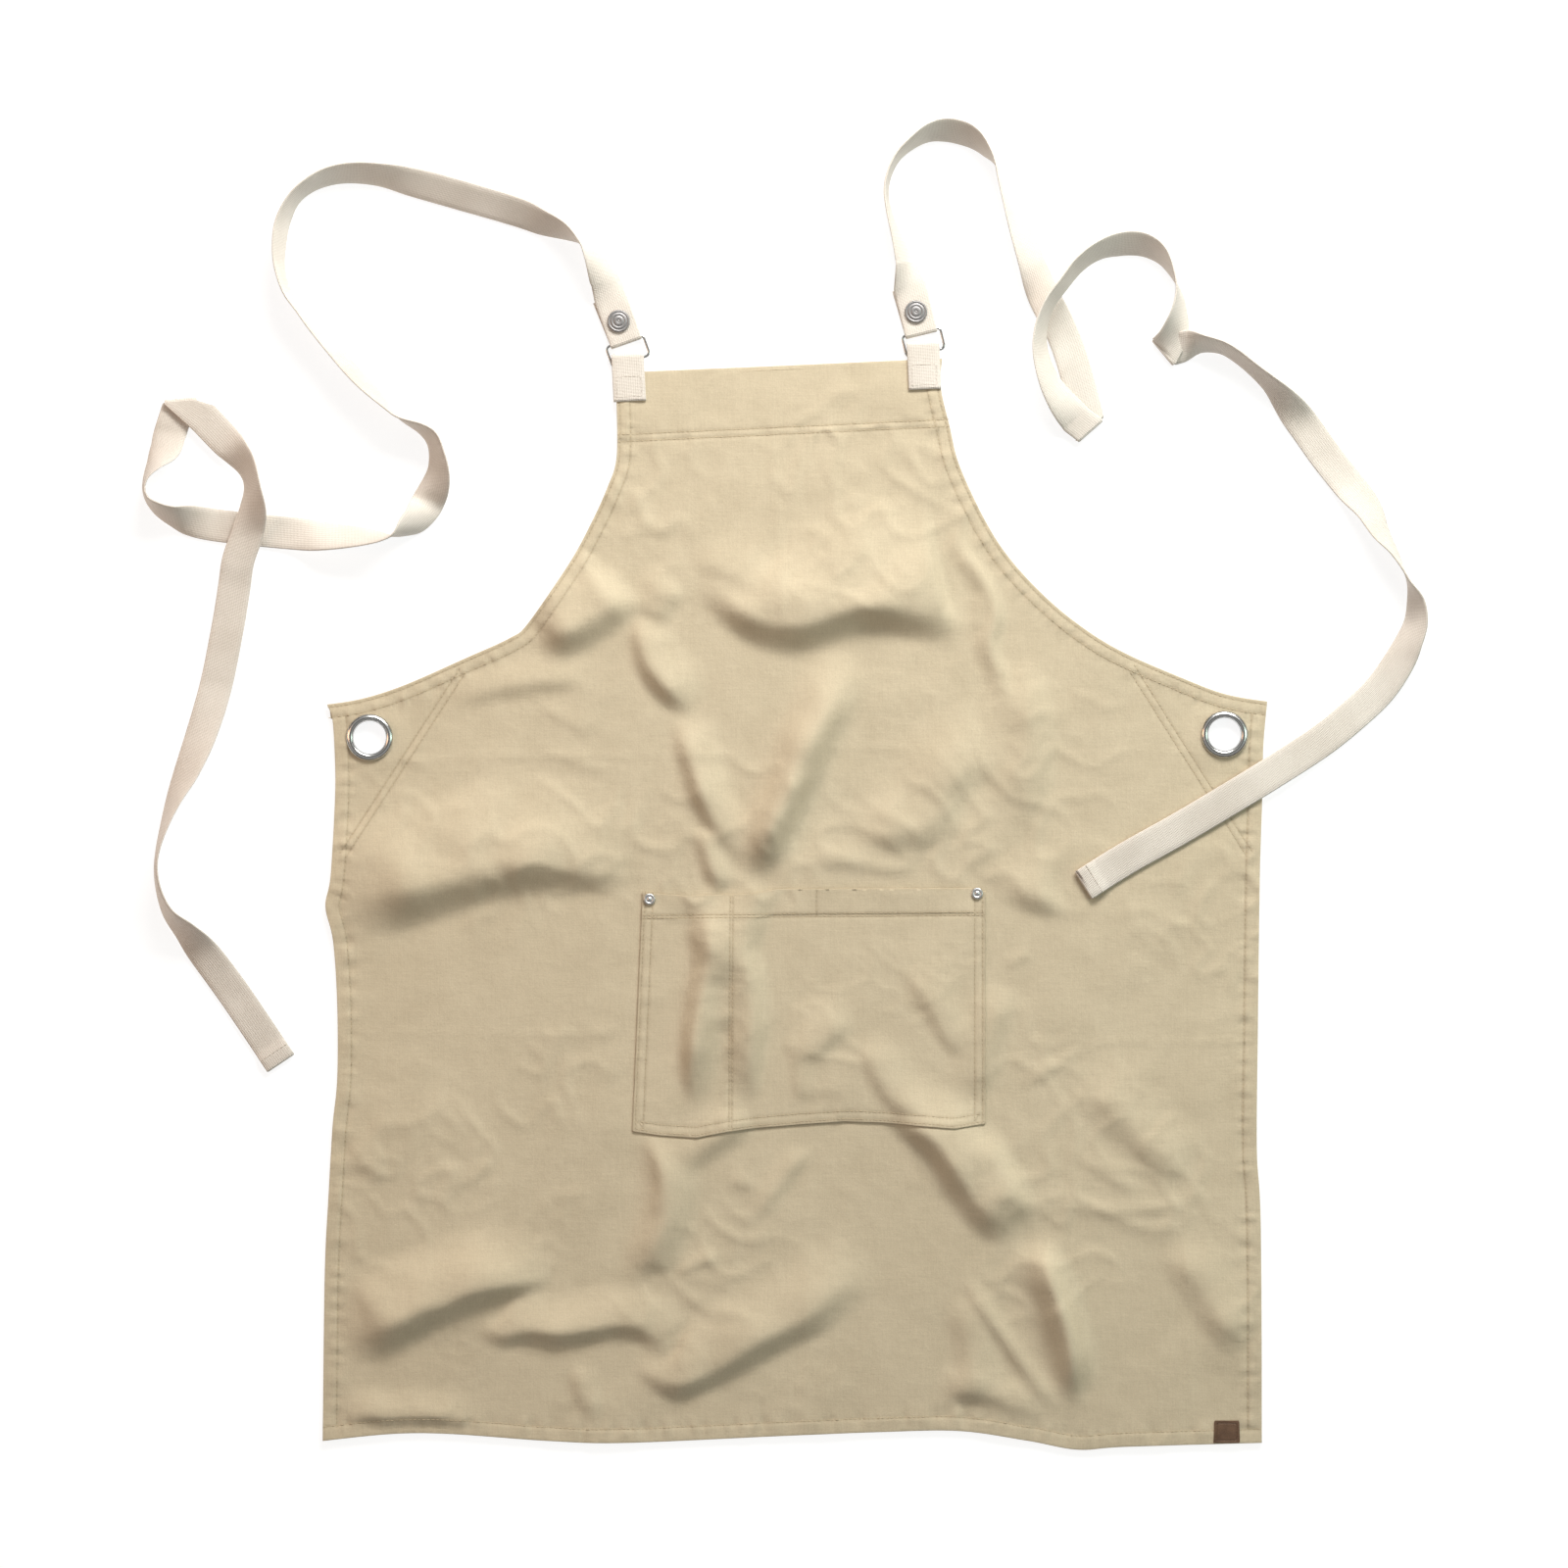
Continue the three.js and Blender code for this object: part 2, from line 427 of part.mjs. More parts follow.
function sheetBetween(low, high) {
  const count = sheetHeights.length;
  const positions = [];
  for (const level of [low, high]) {
    for (const [x, y, height] of sheetHeights) positions.push(x, y, height + level);
  }
  const index = [];
  const at = (column, row) => row * (sheetColumns + 1) + column;
  for (let row = 0; row < sheetRows; row++) {
    for (let column = 0; column < sheetColumns; column++) {
      const [a, b] = [at(column, row), at(column + 1, row)];
      const [c, d] = [at(column + 1, row + 1), at(column, row + 1)];
      index.push(a, c, b, a, d, c);
      index.push(count + a, count + b, count + c, count + a, count + c, count + d);
    }
  }
  const rim = [];
  for (let column = 0; column < sheetColumns; column++) rim.push(at(column, 0));
  for (let row = 0; row < sheetRows; row++) rim.push(at(sheetColumns, row));
  for (let column = sheetColumns; column > 0; column--) rim.push(at(column, sheetRows));
  for (let row = sheetRows; row > 0; row--) rim.push(at(0, row));
  rim.forEach((a, i) => {
    const b = rim[(i + 1) % rim.length];
    index.push(a, b, count + b, a, count + b, count + a);
  });
  const geometry = new THREE.BufferGeometry();
  geometry.setAttribute("position", new THREE.Float32BufferAttribute(positions, 3));
  geometry.setIndex(index);
  return toSolid(geometry);
}

const PRISM_DEPTH = 60;

function prismOf(points) {
  const shape = new THREE.Shape(points);
  const geometry = new THREE.ExtrudeGeometry(shape, { depth: PRISM_DEPTH, bevelEnabled: false });
  geometry.translate(0, 0, -PRISM_DEPTH / 4);
  return toSolid(geometry);
}

function discPrism(centre, radius) {
  const shape = new THREE.Shape().absarc(0, 0, radius, 0, 2 * Math.PI);
  return prismOf(shape.getPoints(ROUND_SIDES / 2).map((point) => point.add(centre)));
}

// Footprints. Lines run round the apron with its cloth on their left, from the bib's top left corner
const INSET = 0.5; // how far the turned cloth on the back stays in from the panel's edge
const rightSideUp = [...rightSide].reverse();
const rightArmholeUp = [...rightArmhole].reverse();
const around = [
  ...leftArmhole,
  ...leftSide.slice(1),
  ...bottom.slice(1),
  ...rightSideUp.slice(1),
  ...rightArmholeUp.slice(1),
];

function bandPrism(points, near, far) {
  return prismOf([...offsetLine(points, near), ...offsetLine(points, far).reverse()]);
}

const GROMMET_HOLE = GROMMET_BORE / 2 + GROMMET_WALL + GAP;
const grommetHoles = {
  left: discPrism(leftGrommet, GROMMET_HOLE),
  right: discPrism(rightGrommet, GROMMET_HOLE),
};
const rivetHoles = Object.values(POCKET_RIVETS).map((at) => discPrism(onPocket(at), RIVET_SHANK / 2 + GAP));

function cutAll(solid, cutters) {
  return cutters.reduce((left, cutter) => left.subtract(cutter), solid);
}

// The panel, and the turned cloth on its back
const backing = sheetBetween(0, CLOTH);
const uncut = sheetBetween(PANEL_BASE, PANEL_TOP).intersect(prismOf(around));
addMesh("apron_panel", toGeometry(cutAll(uncut, [...Object.values(grommetHoles), ...rivetHoles])), KHAKI);

const facingLeft = offsetLine(stretchOf(leftArmhole, 0, FACING_DEPTH), INSET);
const facingRight = offsetLine(stretchOf(rightArmhole, 0, FACING_DEPTH).reverse(), INSET);
const facingDrop = new THREE.Vector2(0, -INSET);
facingLeft[0].add(facingDrop);
facingRight[facingRight.length - 1].add(facingDrop);
addMesh("bib_facing", toGeometry(backing.intersect(prismOf([...facingLeft, ...facingRight]))), KHAKI);

const clearOfFacing = FACING_DEPTH + 2 * GAP;
const bandLines = {
  left: stretchOf(leftArmhole, clearOfFacing, -INSET),
  right: stretchOf(rightArmholeUp, INSET, -clearOfFacing),
};
const belowBand = ARMHOLE_BAND_WIDTH + 2 * GAP + INSET;
const aboveHem = HEM_WIDTH + 2 * GAP;
const hemLines = {
  left: stretchOf(leftSide, belowBand, -aboveHem),
  right: stretchOf(rightSideUp, aboveHem, -belowBand),
};
const bottomLine = stretchOf(bottom, INSET, -INSET);
const clearOfBottom = bandPrism(bottomLine, INSET - GAP, HEM_WIDTH + GAP);
addMesh("bottom_hem", toGeometry(backing.intersect(bandPrism(bottomLine, INSET, HEM_WIDTH))), KHAKI);

// The doubled cloth behind each grommet reaches along the armhole and the side, and is cut off aslant
const alongArmhole = {
  left: stretchOf(leftArmhole, arcLength(leftArmhole) - PATCH_ALONG_ARMHOLE, -INSET),
  right: stretchOf(rightArmholeUp, INSET, PATCH_ALONG_ARMHOLE),
};
const alongSide = {
  left: stretchOf(leftSide, INSET, PATCH_ALONG_SIDE),
  right: stretchOf(rightSideUp, arcLength(rightSide) - PATCH_ALONG_SIDE, -INSET),
};
for (const side of ["left", "right"]) {
  const band = backing.intersect(bandPrism(bandLines[side], INSET, ARMHOLE_BAND_WIDTH));
  addMesh("armhole_binding_" + side, toGeometry(band), KHAKI);
  const clearOfBand = bandPrism(bandLines[side], INSET - GAP, ARMHOLE_BAND_WIDTH + GAP);
  const hem = backing.intersect(bandPrism(hemLines[side], INSET, HEM_WIDTH));
  addMesh("side_hem_" + side, toGeometry(cutAll(hem, [clearOfBand, clearOfBottom])), KHAKI);
  const clearOfHem = bandPrism(hemLines[side], INSET - GAP, HEM_WIDTH + GAP);
  const [above, beside] = [alongArmhole[side], alongSide[side]];
  const outline = side === "left" ? [...above, ...beside.slice(1)] : [...beside, ...above.slice(1)];
  const patch = cutAll(backing.intersect(prismOf(outline)), [clearOfBand, clearOfHem, grommetHoles[side]]);
  addMesh("corner_patch_" + side, toGeometry(largest(patch)), KHAKI);
}

function arcLength(points) {
  return points.slice(1).reduce((sum, point, i) => sum + point.distanceTo(points[i]), 0);
}

// Slivers that a cut leaves beside the piece are dropped
function largest(solid) {
  return solid.decompose().sort((a, b) => b.volume() - a.volume())[0];
}

// The pocket lies on the panel, and the label on the panel's lower right corner
const pocketSheet = sheetBetween(POCKET_BASE, POCKET_TOP).intersect(prismOf(POCKET_EDGE.map(onPocket)));
addMesh("pocket", toGeometry(cutAll(pocketSheet, rivetHoles)), KHAKI);

const LABEL_TOP_SHARE = 0.94; // the label narrows a little towards its top
const labelShape = new THREE.Shape([
  new THREE.Vector2(-LABEL_WIDTH / 2, 0),
  new THREE.Vector2(LABEL_WIDTH / 2, 0),
  new THREE.Vector2((LABEL_TOP_SHARE * LABEL_WIDTH) / 2, LABEL_HEIGHT),
  new THREE.Vector2((-LABEL_TOP_SHARE * LABEL_WIDTH) / 2, LABEL_HEIGHT),
]);
const labelGeometry = new THREE.ExtrudeGeometry(labelShape, { depth: LABEL, bevelEnabled: false });
const label = addMesh("hem_label", labelGeometry, TAN);
label.position.set(labelCorner.x - LABEL_FROM_SIDE, labelCorner.y, PANEL_TOP + GAP);

// A round piece from its profile of radius and height
function turned(profile, sides) {
  const points = profile.map(([radius, height]) => new THREE.Vector2(radius, height));
  return new THREE.LatheGeometry(points, sides).rotateX(Math.PI / 2);
}

// Grommets: a domed flange and barrel in front, a washer behind
function grommetProfile() {
  const bore = GROMMET_BORE / 2;
  const barrel = bore + GROMMET_WALL;
  const rim = GROMMET_DIAMETER / 2;
  const seat = PANEL_TOP + WASHER_SEAT + GAP;
  const across = (share) => bore + share * (rim - bore);
  const up = (share) => seat + share * GROMMET_HEIGHT;
  return [
    [bore, GAP / 2], [barrel, GAP / 2], [barrel, seat], [rim, seat], [across(0.97), up(0.35)],
    [across(0.78), up(0.8)], [across(0.5), up(1)], [across(0.22), up(0.85)], [across(0.05), up(0.45)],
    [bore, up(0)], [bore, GAP / 2],
  ];
}

function washerProfile() {
  const inner = GROMMET_BORE / 2 + GROMMET_WALL + GAP;
  const outer = GROMMET_DIAMETER / 2;
  return [[inner, 0], [outer, 0], [outer, WASHER], [inner, WASHER], [inner, 0]];
}

for (const [side, at] of Object.entries({ left: leftGrommet, right: rightGrommet })) {
  const grommet = addMesh("grommet_" + side, turned(grommetProfile(), ROUND_SIDES), NICKEL);
  const washer = addMesh("grommet_washer_" + side, turned(washerProfile(), ROUND_SIDES), NICKEL);
  for (const piece of [grommet, washer]) piece.position.set(at.x, at.y, 0);
}

// Pocket rivets: a cap with a raised ring and centre, a shank, and a burr on the back
function rivetProfile() {
  const cap = RIVET_DIAMETER / 2;
  const seat = POCKET_TOP + GAP;
  const up = (share) => seat + share * RIVET_HEIGHT;
  return [
    [0, 0], [RIVET_BURR_DIAMETER / 2, 0], [RIVET_BURR_DIAMETER / 2, RIVET_BURR],
    [RIVET_SHANK / 2, RIVET_BURR], [RIVET_SHANK / 2, seat], [cap, seat], [cap, up(0.3)],
    [cap * 0.82, up(0.8)], [cap * 0.62, up(0.85)], [cap * 0.5, up(0.6)], [cap * 0.3, up(0.7)], [0, up(1)],
  ];
}
for (const [side, share] of Object.entries(POCKET_RIVETS)) {
  const at = onPocket(share);
  addMesh("pocket_rivet_" + side, turned(rivetProfile(), RIVET_SIDES), NICKEL).position.set(at.x, at.y, 0);
}

// Tabs: webbing folded round the ring's lower bar, one leg behind the bib's corner and one in front
const TAB_FRONT = TAB_SEAT + PANEL_TOP + GAP;
const BAR_LEVEL = (TAB_WEBBING + TAB_FRONT) / 2;

function tabGeometry() {
  const inner = (TAB_FRONT - TAB_WEBBING) / 2;
  const outer = inner + TAB_WEBBING;
  const foot = outer - TAB_LENGTH;
  const shape = new THREE.Shape();
  shape.moveTo(foot, BAR_LEVEL + inner);
  shape.lineTo(0, BAR_LEVEL + inner);
  shape.absarc(0, BAR_LEVEL, inner, Math.PI / 2, -Math.PI / 2, true);
  shape.lineTo(foot, BAR_LEVEL - inner);
  shape.lineTo(foot, BAR_LEVEL - outer);
  shape.lineTo(0, BAR_LEVEL - outer);
  shape.absarc(0, BAR_LEVEL, outer, -Math.PI / 2, Math.PI / 2, false);
  shape.lineTo(foot, BAR_LEVEL + outer);
  const across = { depth: WEBBING_WIDTH, bevelEnabled: false, curveSegments: 8 };
  const geometry = new THREE.ExtrudeGeometry(shape, across).translate(0, 0, -WEBBING_WIDTH / 2);
  const alongY = new THREE.Vector3(0, 1, 0);
  const alongZ = new THREE.Vector3(0, 0, 1);
  const alongX = new THREE.Vector3(1, 0, 0);
  return geometry.applyMatrix4(new THREE.Matrix4().makeBasis(alongY, alongZ, alongX));
}

// Rings: wire bent to a rectangle with rounded corners
function roundedRectangle(width, height, radius, target) {
  const [x, y] = [width / 2, height / 2];
  target.moveTo(-x + radius, -y);
  target.lineTo(x - radius, -y);
  target.absarc(x - radius, -y + radius, radius, -Math.PI / 2, 0);
  target.lineTo(x, y - radius);
  target.absarc(x - radius, y - radius, radius, 0, Math.PI / 2);
  target.lineTo(-x + radius, y);
  target.absarc(-x + radius, y - radius, radius, Math.PI / 2, Math.PI);
  target.lineTo(-x, -y + radius);
  target.absarc(-x + radius, -y + radius, radius, Math.PI, 1.5 * Math.PI);
  return target;
}

function ringGeometry() {
  const bevel = RING_WIRE * 0.3;
  const half = RING_WIRE / 2 - bevel;
  const [across, along] = [RING_WIDTH, RING_SPAN];
  const shape = roundedRectangle(across + 2 * half, along + 2 * half, RING_WIRE, new THREE.Shape());
  const corner = RING_WIRE - 2 * half;
  shape.holes.push(roundedRectangle(across - 2 * half, along - 2 * half, corner, new THREE.Path()));
  return new THREE.ExtrudeGeometry(shape, {
    depth: 2 * half,
    bevelSize: bevel,
    bevelThickness: bevel,
    bevelSegments: 1,
    curveSegments: 3,
  }).translate(0, 0, -half);
}

const radians = THREE.MathUtils.degToRad;
const alongBar = (turn) => new THREE.Vector2(Math.cos(radians(turn)), Math.sin(radians(turn)));
const upStrap = (turn) => new THREE.Vector2(-Math.sin(radians(turn)), Math.cos(radians(turn)));

for (const [side, { bar, barTurn, ringShift, tabFold, tabTurn }] of Object.entries(FITTINGS)) {
  const tab = addMesh("tab_" + side, tabGeometry(), CREAM);
  tab.position.set(onApron(tabFold).x, onApron(tabFold).y, 0);
  tab.rotation.z = radians(tabTurn);
  const middle = onApron(bar)
    .addScaledVector(alongBar(barTurn), ringShift)
    .addScaledVector(upStrap(barTurn), -RING_SPAN / 2);
  const ring = addMesh("ring_" + side, ringGeometry(), NICKEL);
  ring.position.set(middle.x, middle.y, BAR_LEVEL);
  ring.rotation.z = radians(barTurn);
}

// Straps. A station is a place on the middle of the webbing, with the vector across it
const STRAP_LEVEL = WEBBING / 2;
const SOCKET_SEAT = SNAP_SOCKET + GAP;
const RETURN_LEVEL = SOCKET_SEAT + STRAP_LEVEL;
const FRONT_LEVEL = RETURN_LEVEL + WEBBING + GAP;
const RING_FOLD_RADIUS = BAR_LEVEL - STRAP_LEVEL;
const STRAP_FOLD_RADIUS = RIDE / 2;
const END_FOLD_RADIUS = (WEBBING + GAP) / 2;
const FOLD_STEPS = 4;
const RETURN_TURN = 2.5; // degrees between the strap and its turned end, which peeks out beside it
const SNAP_MARGIN = 2; // of flat webbing round the snap

const station = (plan, level, across) => ({
  place: new THREE.Vector3(plan.x, plan.y, level),
  across: across.clone(),
});

// Half a turn about an axis that runs across the webbing; outwards is where it bulges to
function foldStations(axis, level, radius, outwards, across, rising) {
  return Array.from({ length: FOLD_STEPS + 1 }, (_, i) => {
    const angle = (i / FOLD_STEPS - 0.5) * Math.PI * (rising ? 1 : -1);
    const plan = axis.clone().addScaledVector(outwards, radius * Math.cos(angle));
    return station(plan, level + radius * Math.sin(angle), across);
  });
}

function ringStations({ bar, barTurn }) {
  const axis = onApron(bar);
  const up = upStrap(barTurn);
  const upReturn = upStrap(barTurn + RETURN_TURN);
  const across = new THREE.Vector3(-alongBar(barTurn).x, -alongBar(barTurn).y, 0);
  const snapAt = SNAP_FROM_FOLD - RING_FOLD_RADIUS - STRAP_LEVEL;
  const flat = SNAP_DIAMETER / 2 + SNAP_MARGIN;
  const back = [STRAP_RETURN, snapAt + flat, snapAt - flat].map((far) =>
    station(axis.clone().addScaledVector(upReturn, far), RETURN_LEVEL, across),
  );
  const down = up.clone().negate();
  const fold = foldStations(axis, BAR_LEVEL, RING_FOLD_RADIUS, down, across, true);
  const front = [snapAt - flat, snapAt + flat, STRAP_RETURN + 1].map((far) =>
    station(axis.clone().addScaledVector(up, far), FRONT_LEVEL, across),
  );
  return [...back, ...fold, ...front];
}

// A smooth value between the middle two of four evenly spaced ones
function between(a, b, c, d, t) {
  return b + 0.5 * t * (c - a + t * (2 * a - 5 * b + 4 * c - d + t * (3 * (b - c) + d - a)));
}

function smoothRows(rows, length) {
  const stations = [];
  const at = (i) => rows[THREE.MathUtils.clamp(i, 0, rows.length - 1)];
  for (let i = 0; i < rows.length - 1; i++) {
    const span = Math.hypot(at(i + 1).x - at(i).x, at(i + 1).y - at(i).y);
    const steps = Math.max(1, Math.round((span * length) / STRAP_PITCH));
    for (let k = 0; k < steps; k++) {
      const value = (key) => between(at(i - 1)[key], at(i)[key], at(i + 1)[key], at(i + 2)[key], k / steps);
      stations.push(Object.fromEntries(STRAP_COLUMNS.map((key) => [key, value(key)])));
    }
  }
  stations.push({ ...at(rows.length - 1) });
  return stations;
}

// How high webbing rides where it comes to lie on a grommet
function overGrommets(plan) {
  const top = PANEL_TOP + WASHER_SEAT + GAP + GROMMET_HEIGHT + GAP;
  const clear = (GROMMET_DIAMETER + WEBBING_WIDTH) / 2 + GAP;
  const near = Math.min(plan.distanceTo(leftGrommet), plan.distanceTo(rightGrommet));
  return top * (1 - THREE.MathUtils.smoothstep(near, clear, clear + WEBBING_WIDTH / 2));
}

function routeStations(route, origin, length) {
  const rows = route.map((row) => {
    const named = Object.fromEntries(STRAP_COLUMNS.map((key, i) => [key, row[i]]));
    return { ...named, x: named.x / 1000, y: named.y / 1000 };
  });
  const stations = [];
  let first = 0;
  rows.forEach((row, i) => {
    const last = i === rows.length - 1;
    if (!row.fold && !last) return;
    const stretch = smoothRows(rows.slice(first, i + 1), length);
    if (row.fold) stretch.pop();
    for (const row of stretch) {
      const across = new THREE.Vector3(row.acrossX, row.acrossY, row.rise).normalize();
      const plan = new THREE.Vector2(origin.x + row.x * length, origin.y + row.y * length);
      const lift = Math.max(row.layer * RIDE, overGrommets(plan));
      const level = lift + STRAP_LEVEL + (Math.abs(row.rise) * WEBBING_WIDTH) / 2;
      stations.push({ ...station(plan, level, across), lift });
    }
    if (row.fold) {
      const before = rows[i - 1];
      const across = new THREE.Vector3(row.acrossX, row.acrossY, 0).normalize();
      const outwards = new THREE.Vector2(-across.y, across.x);
      if (outwards.x * (row.x - before.x) + outwards.y * (row.y - before.y) < 0) outwards.negate();
      const radius = STRAP_FOLD_RADIUS;
      const plan = new THREE.Vector2(origin.x + row.x * length, origin.y + row.y * length);
      plan.addScaledVector(outwards, -radius);
      stations.push(...foldStations(plan, STRAP_LEVEL + radius, radius, outwards, across, row.fold > 0));
    }
    first = i + 1;
  });
  return stations;
}

// The free end is turned under once
function endStations(last, before) {
  const along = new THREE.Vector2(last.place.x - before.place.x, last.place.y - before.place.y).normalize();
  const across = new THREE.Vector3(-along.y, along.x, 0);
  if (across.dot(last.across) < 0) across.negate();
  const level = last.lift + STRAP_LEVEL;
  const radius = END_FOLD_RADIUS;
  const axis = new THREE.Vector2(last.place.x, last.place.y).addScaledVector(along, -radius - STRAP_LEVEL);
  const turnedBack = station(axis.clone().addScaledVector(along, -STRAP_END_HEM), level, across);
  return [...foldStations(axis, level + radius, radius, along, across, false), turnedBack];
}

function tangentAt(stations, i) {
  const before = stations[Math.max(i - 1, 0)].place;
  const after = stations[Math.min(i + 1, stations.length - 1)].place;
  return after.clone().sub(before).normalize();
}

// Stretches each across vector to the webbing's full width and rests its lower edge on what is beneath it
function settle(stations) {
  for (let pass = 0; pass < 3; pass++) {
    stations.forEach((item, i) => {
      const along = tangentAt(stations, i);
      const square = item.across.clone().addScaledVector(along, -item.across.dot(along));
      item.across.multiplyScalar(WEBBING_WIDTH / square.length());
      item.normal = new THREE.Vector3().crossVectors(along, item.across).normalize();
      if (item.lift === undefined) return;
      item.place.z = item.lift + Math.abs(item.across.z) / 2 + Math.abs(item.normal.z) * STRAP_LEVEL;
    });
  }
}

function webbingGeometry(stations) {
  const positions = [];
  for (const { place, across, normal } of stations) {
    for (const [side, face] of [[-0.5, -1], [0.5, -1], [0.5, 1], [-0.5, 1]]) {
      const corner = place.clone().addScaledVector(across, side);
      positions.push(...corner.addScaledVector(normal, face * STRAP_LEVEL));
    }
  }
  const index = [0, 2, 1, 0, 3, 2];
  for (let i = 0; i < stations.length - 1; i++) {
    for (let k = 0; k < 4; k++) {
      const [a, b] = [4 * i + k, 4 * i + ((k + 1) % 4)];
      // Both faces of the twisted webbing are split along the same diagonal, so that they stay apart
      if (k === 2) index.push(a, b, a + 4, b, b + 4, a + 4);
      else index.push(a, b, b + 4, a, b + 4, a + 4);
    }
  }
  const end = 4 * (stations.length - 1);
  index.push(end, end + 1, end + 2, end, end + 2, end + 3);
  const geometry = new THREE.BufferGeometry();
  geometry.setAttribute("position", new THREE.Float32BufferAttribute(positions, 3));
  geometry.setIndex(index);
  return geometry;
}

function strapSolid(fitting, route, length) {
  const start = ringStations(fitting);
  const up = upStrap(fitting.barTurn);
  const origin = onApron(fitting.bar).addScaledVector(up, -(RING_FOLD_RADIUS + STRAP_LEVEL));
  const middle = routeStations(route, origin, length);
  const end = STRAP_END_HEM + 2 * STRAP_PITCH;
  const tip = middle[middle.length - 1].place.clone();
  for (const item of middle) {
    if (item.lift === undefined) continue;
    const near = 1 - THREE.MathUtils.smoothstep(item.place.distanceTo(tip), STRAP_END_HEM, end);
    item.lift += near * 2 * END_FOLD_RADIUS;
  }
  const last = middle.pop();
  last.lift -= 2 * END_FOLD_RADIUS;
  const stations = [...start, ...middle, ...endStations(last, middle[middle.length - 1])];
  settle(stations);
  const snapAt = onApron(fitting.bar).addScaledVector(up, SNAP_FROM_FOLD - RING_FOLD_RADIUS - STRAP_LEVEL);
  const hole = discPrism(snapAt, SNAP_POST / 2 + GAP);
  return { solid: toSolid(webbingGeometry(stations)).subtract(hole), snapAt };
}

// Snaps: a domed cap on the strap, a post through both layers, and a socket behind them
function snapProfile() {
  const cap = SNAP_DIAMETER / 2;
  const post = SNAP_POST / 2;
  const seat = FRONT_LEVEL + STRAP_LEVEL + GAP;
  const up = (share) => seat + share * SNAP_HEIGHT;
  return [
    [0, 0], [SNAP_SOCKET_DIAMETER / 2, 0], [SNAP_SOCKET_DIAMETER / 2, SNAP_SOCKET], [post, SNAP_SOCKET],
    [post, seat], [cap, seat], [cap, up(0.35)], [cap * 0.86, up(0.75)], [cap * 0.74, up(0.72)],
    [cap * 0.5, up(0.95)], [0, up(1)],
  ];
}

const ROUTES = { left: [LEFT_ROUTE, LEFT_STRAP_LENGTH], right: [RIGHT_ROUTE, RIGHT_STRAP_LENGTH] };
for (const [side, [route, length]] of Object.entries(ROUTES)) {
  const { solid, snapAt } = strapSolid(FITTINGS[side], route, length);
  addMesh("strap_" + side, toGeometry(solid), CREAM);
  addMesh("snap_" + side, turned(snapProfile(), ROUND_SIDES), NICKEL).position.set(snapAt.x, snapAt.y, 0);
}

// The part stands on its lowest point, with its origin under the middle of its box
const box = new THREE.Box3().setFromObject(apron);
const middle = box.getCenter(new THREE.Vector3());
apron.position.set(-middle.x, -middle.y, -box.min.z);
const part = new THREE.Group();
part.add(apron);

export default part;
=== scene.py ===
"""A cross back apron lying flat on a pale floor, seen from straight above.

Sizes are millimetres in the apron's own plan: X to the right of its centre line, Y up from its lower
edge, Z out of the cloth. place() brings them into the frame, in metres.
"""
import math

import bpy
import numpy as np
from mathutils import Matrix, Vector, geometry
from mathutils.kdtree import KDTree


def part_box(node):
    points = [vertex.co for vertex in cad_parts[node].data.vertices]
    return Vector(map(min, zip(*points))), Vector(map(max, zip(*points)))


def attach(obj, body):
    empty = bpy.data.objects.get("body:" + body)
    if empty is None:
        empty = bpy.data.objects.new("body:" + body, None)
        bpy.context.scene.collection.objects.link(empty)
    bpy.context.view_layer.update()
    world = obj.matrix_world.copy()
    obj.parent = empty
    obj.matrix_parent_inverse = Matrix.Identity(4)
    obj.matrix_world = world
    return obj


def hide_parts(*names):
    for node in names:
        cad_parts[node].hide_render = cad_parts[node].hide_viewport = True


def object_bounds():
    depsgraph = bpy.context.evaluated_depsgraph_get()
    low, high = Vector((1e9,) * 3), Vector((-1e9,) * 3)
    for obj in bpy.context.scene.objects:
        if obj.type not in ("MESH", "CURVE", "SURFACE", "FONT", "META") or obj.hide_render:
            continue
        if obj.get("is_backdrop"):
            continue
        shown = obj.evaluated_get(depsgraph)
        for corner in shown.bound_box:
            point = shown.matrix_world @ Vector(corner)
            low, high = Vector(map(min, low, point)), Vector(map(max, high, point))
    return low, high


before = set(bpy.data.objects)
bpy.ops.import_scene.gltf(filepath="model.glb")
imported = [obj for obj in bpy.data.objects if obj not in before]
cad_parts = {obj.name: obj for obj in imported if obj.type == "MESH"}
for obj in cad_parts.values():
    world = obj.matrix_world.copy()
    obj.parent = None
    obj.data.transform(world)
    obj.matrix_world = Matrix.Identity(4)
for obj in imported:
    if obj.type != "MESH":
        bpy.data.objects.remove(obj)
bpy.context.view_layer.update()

# Sizes of the cloth, as in the part
APRON_WIDTH = 695
APRON_LENGTH = 800
CLOTH = 1.0
HEM_WIDTH = 10.4
ARMHOLE_BAND_WIDTH = 11
FACING_DEPTH = 54
PATCH_ALONG_ARMHOLE = 104
PATCH_ALONG_SIDE = 116
POCKET_WIDTH = 258
POCKET_HEIGHT = 177
POCKET_RISE = 233
POCKET_OFFSET = 13
POCKET_HEM = 19

# Sizes of the webbing and the metal, as in the part
WEBBING_WIDTH = 24
WEBBING = 1.6
TAB_WEBBING = 1.4
TAB_LENGTH = 35.5
LEFT_STRAP_LENGTH = 1438
RIGHT_STRAP_LENGTH = 1343
STRAP_RETURN = 34
STRAP_END_HEM = 10
RING_WIRE = 2
RING_WIDTH = 29
RING_SPAN = 16
RING_CORNER = 3.2
SNAP_DIAMETER = 16.6
SNAP_HEIGHT = 2.6
SNAP_SOCKET_DIAMETER = 13
SNAP_SOCKET = 0.9
SNAP_POST = 4
SNAP_FROM_FOLD = 18
GROMMET_DIAMETER = 34.7
GROMMET_BORE = 23.8
GROMMET_HEIGHT = 3
GROMMET_WALL = 0.8
GROMMET_FROM_SIDE = 31.6
GROMMET_FROM_TOP = 24.3
WASHER = 0.8
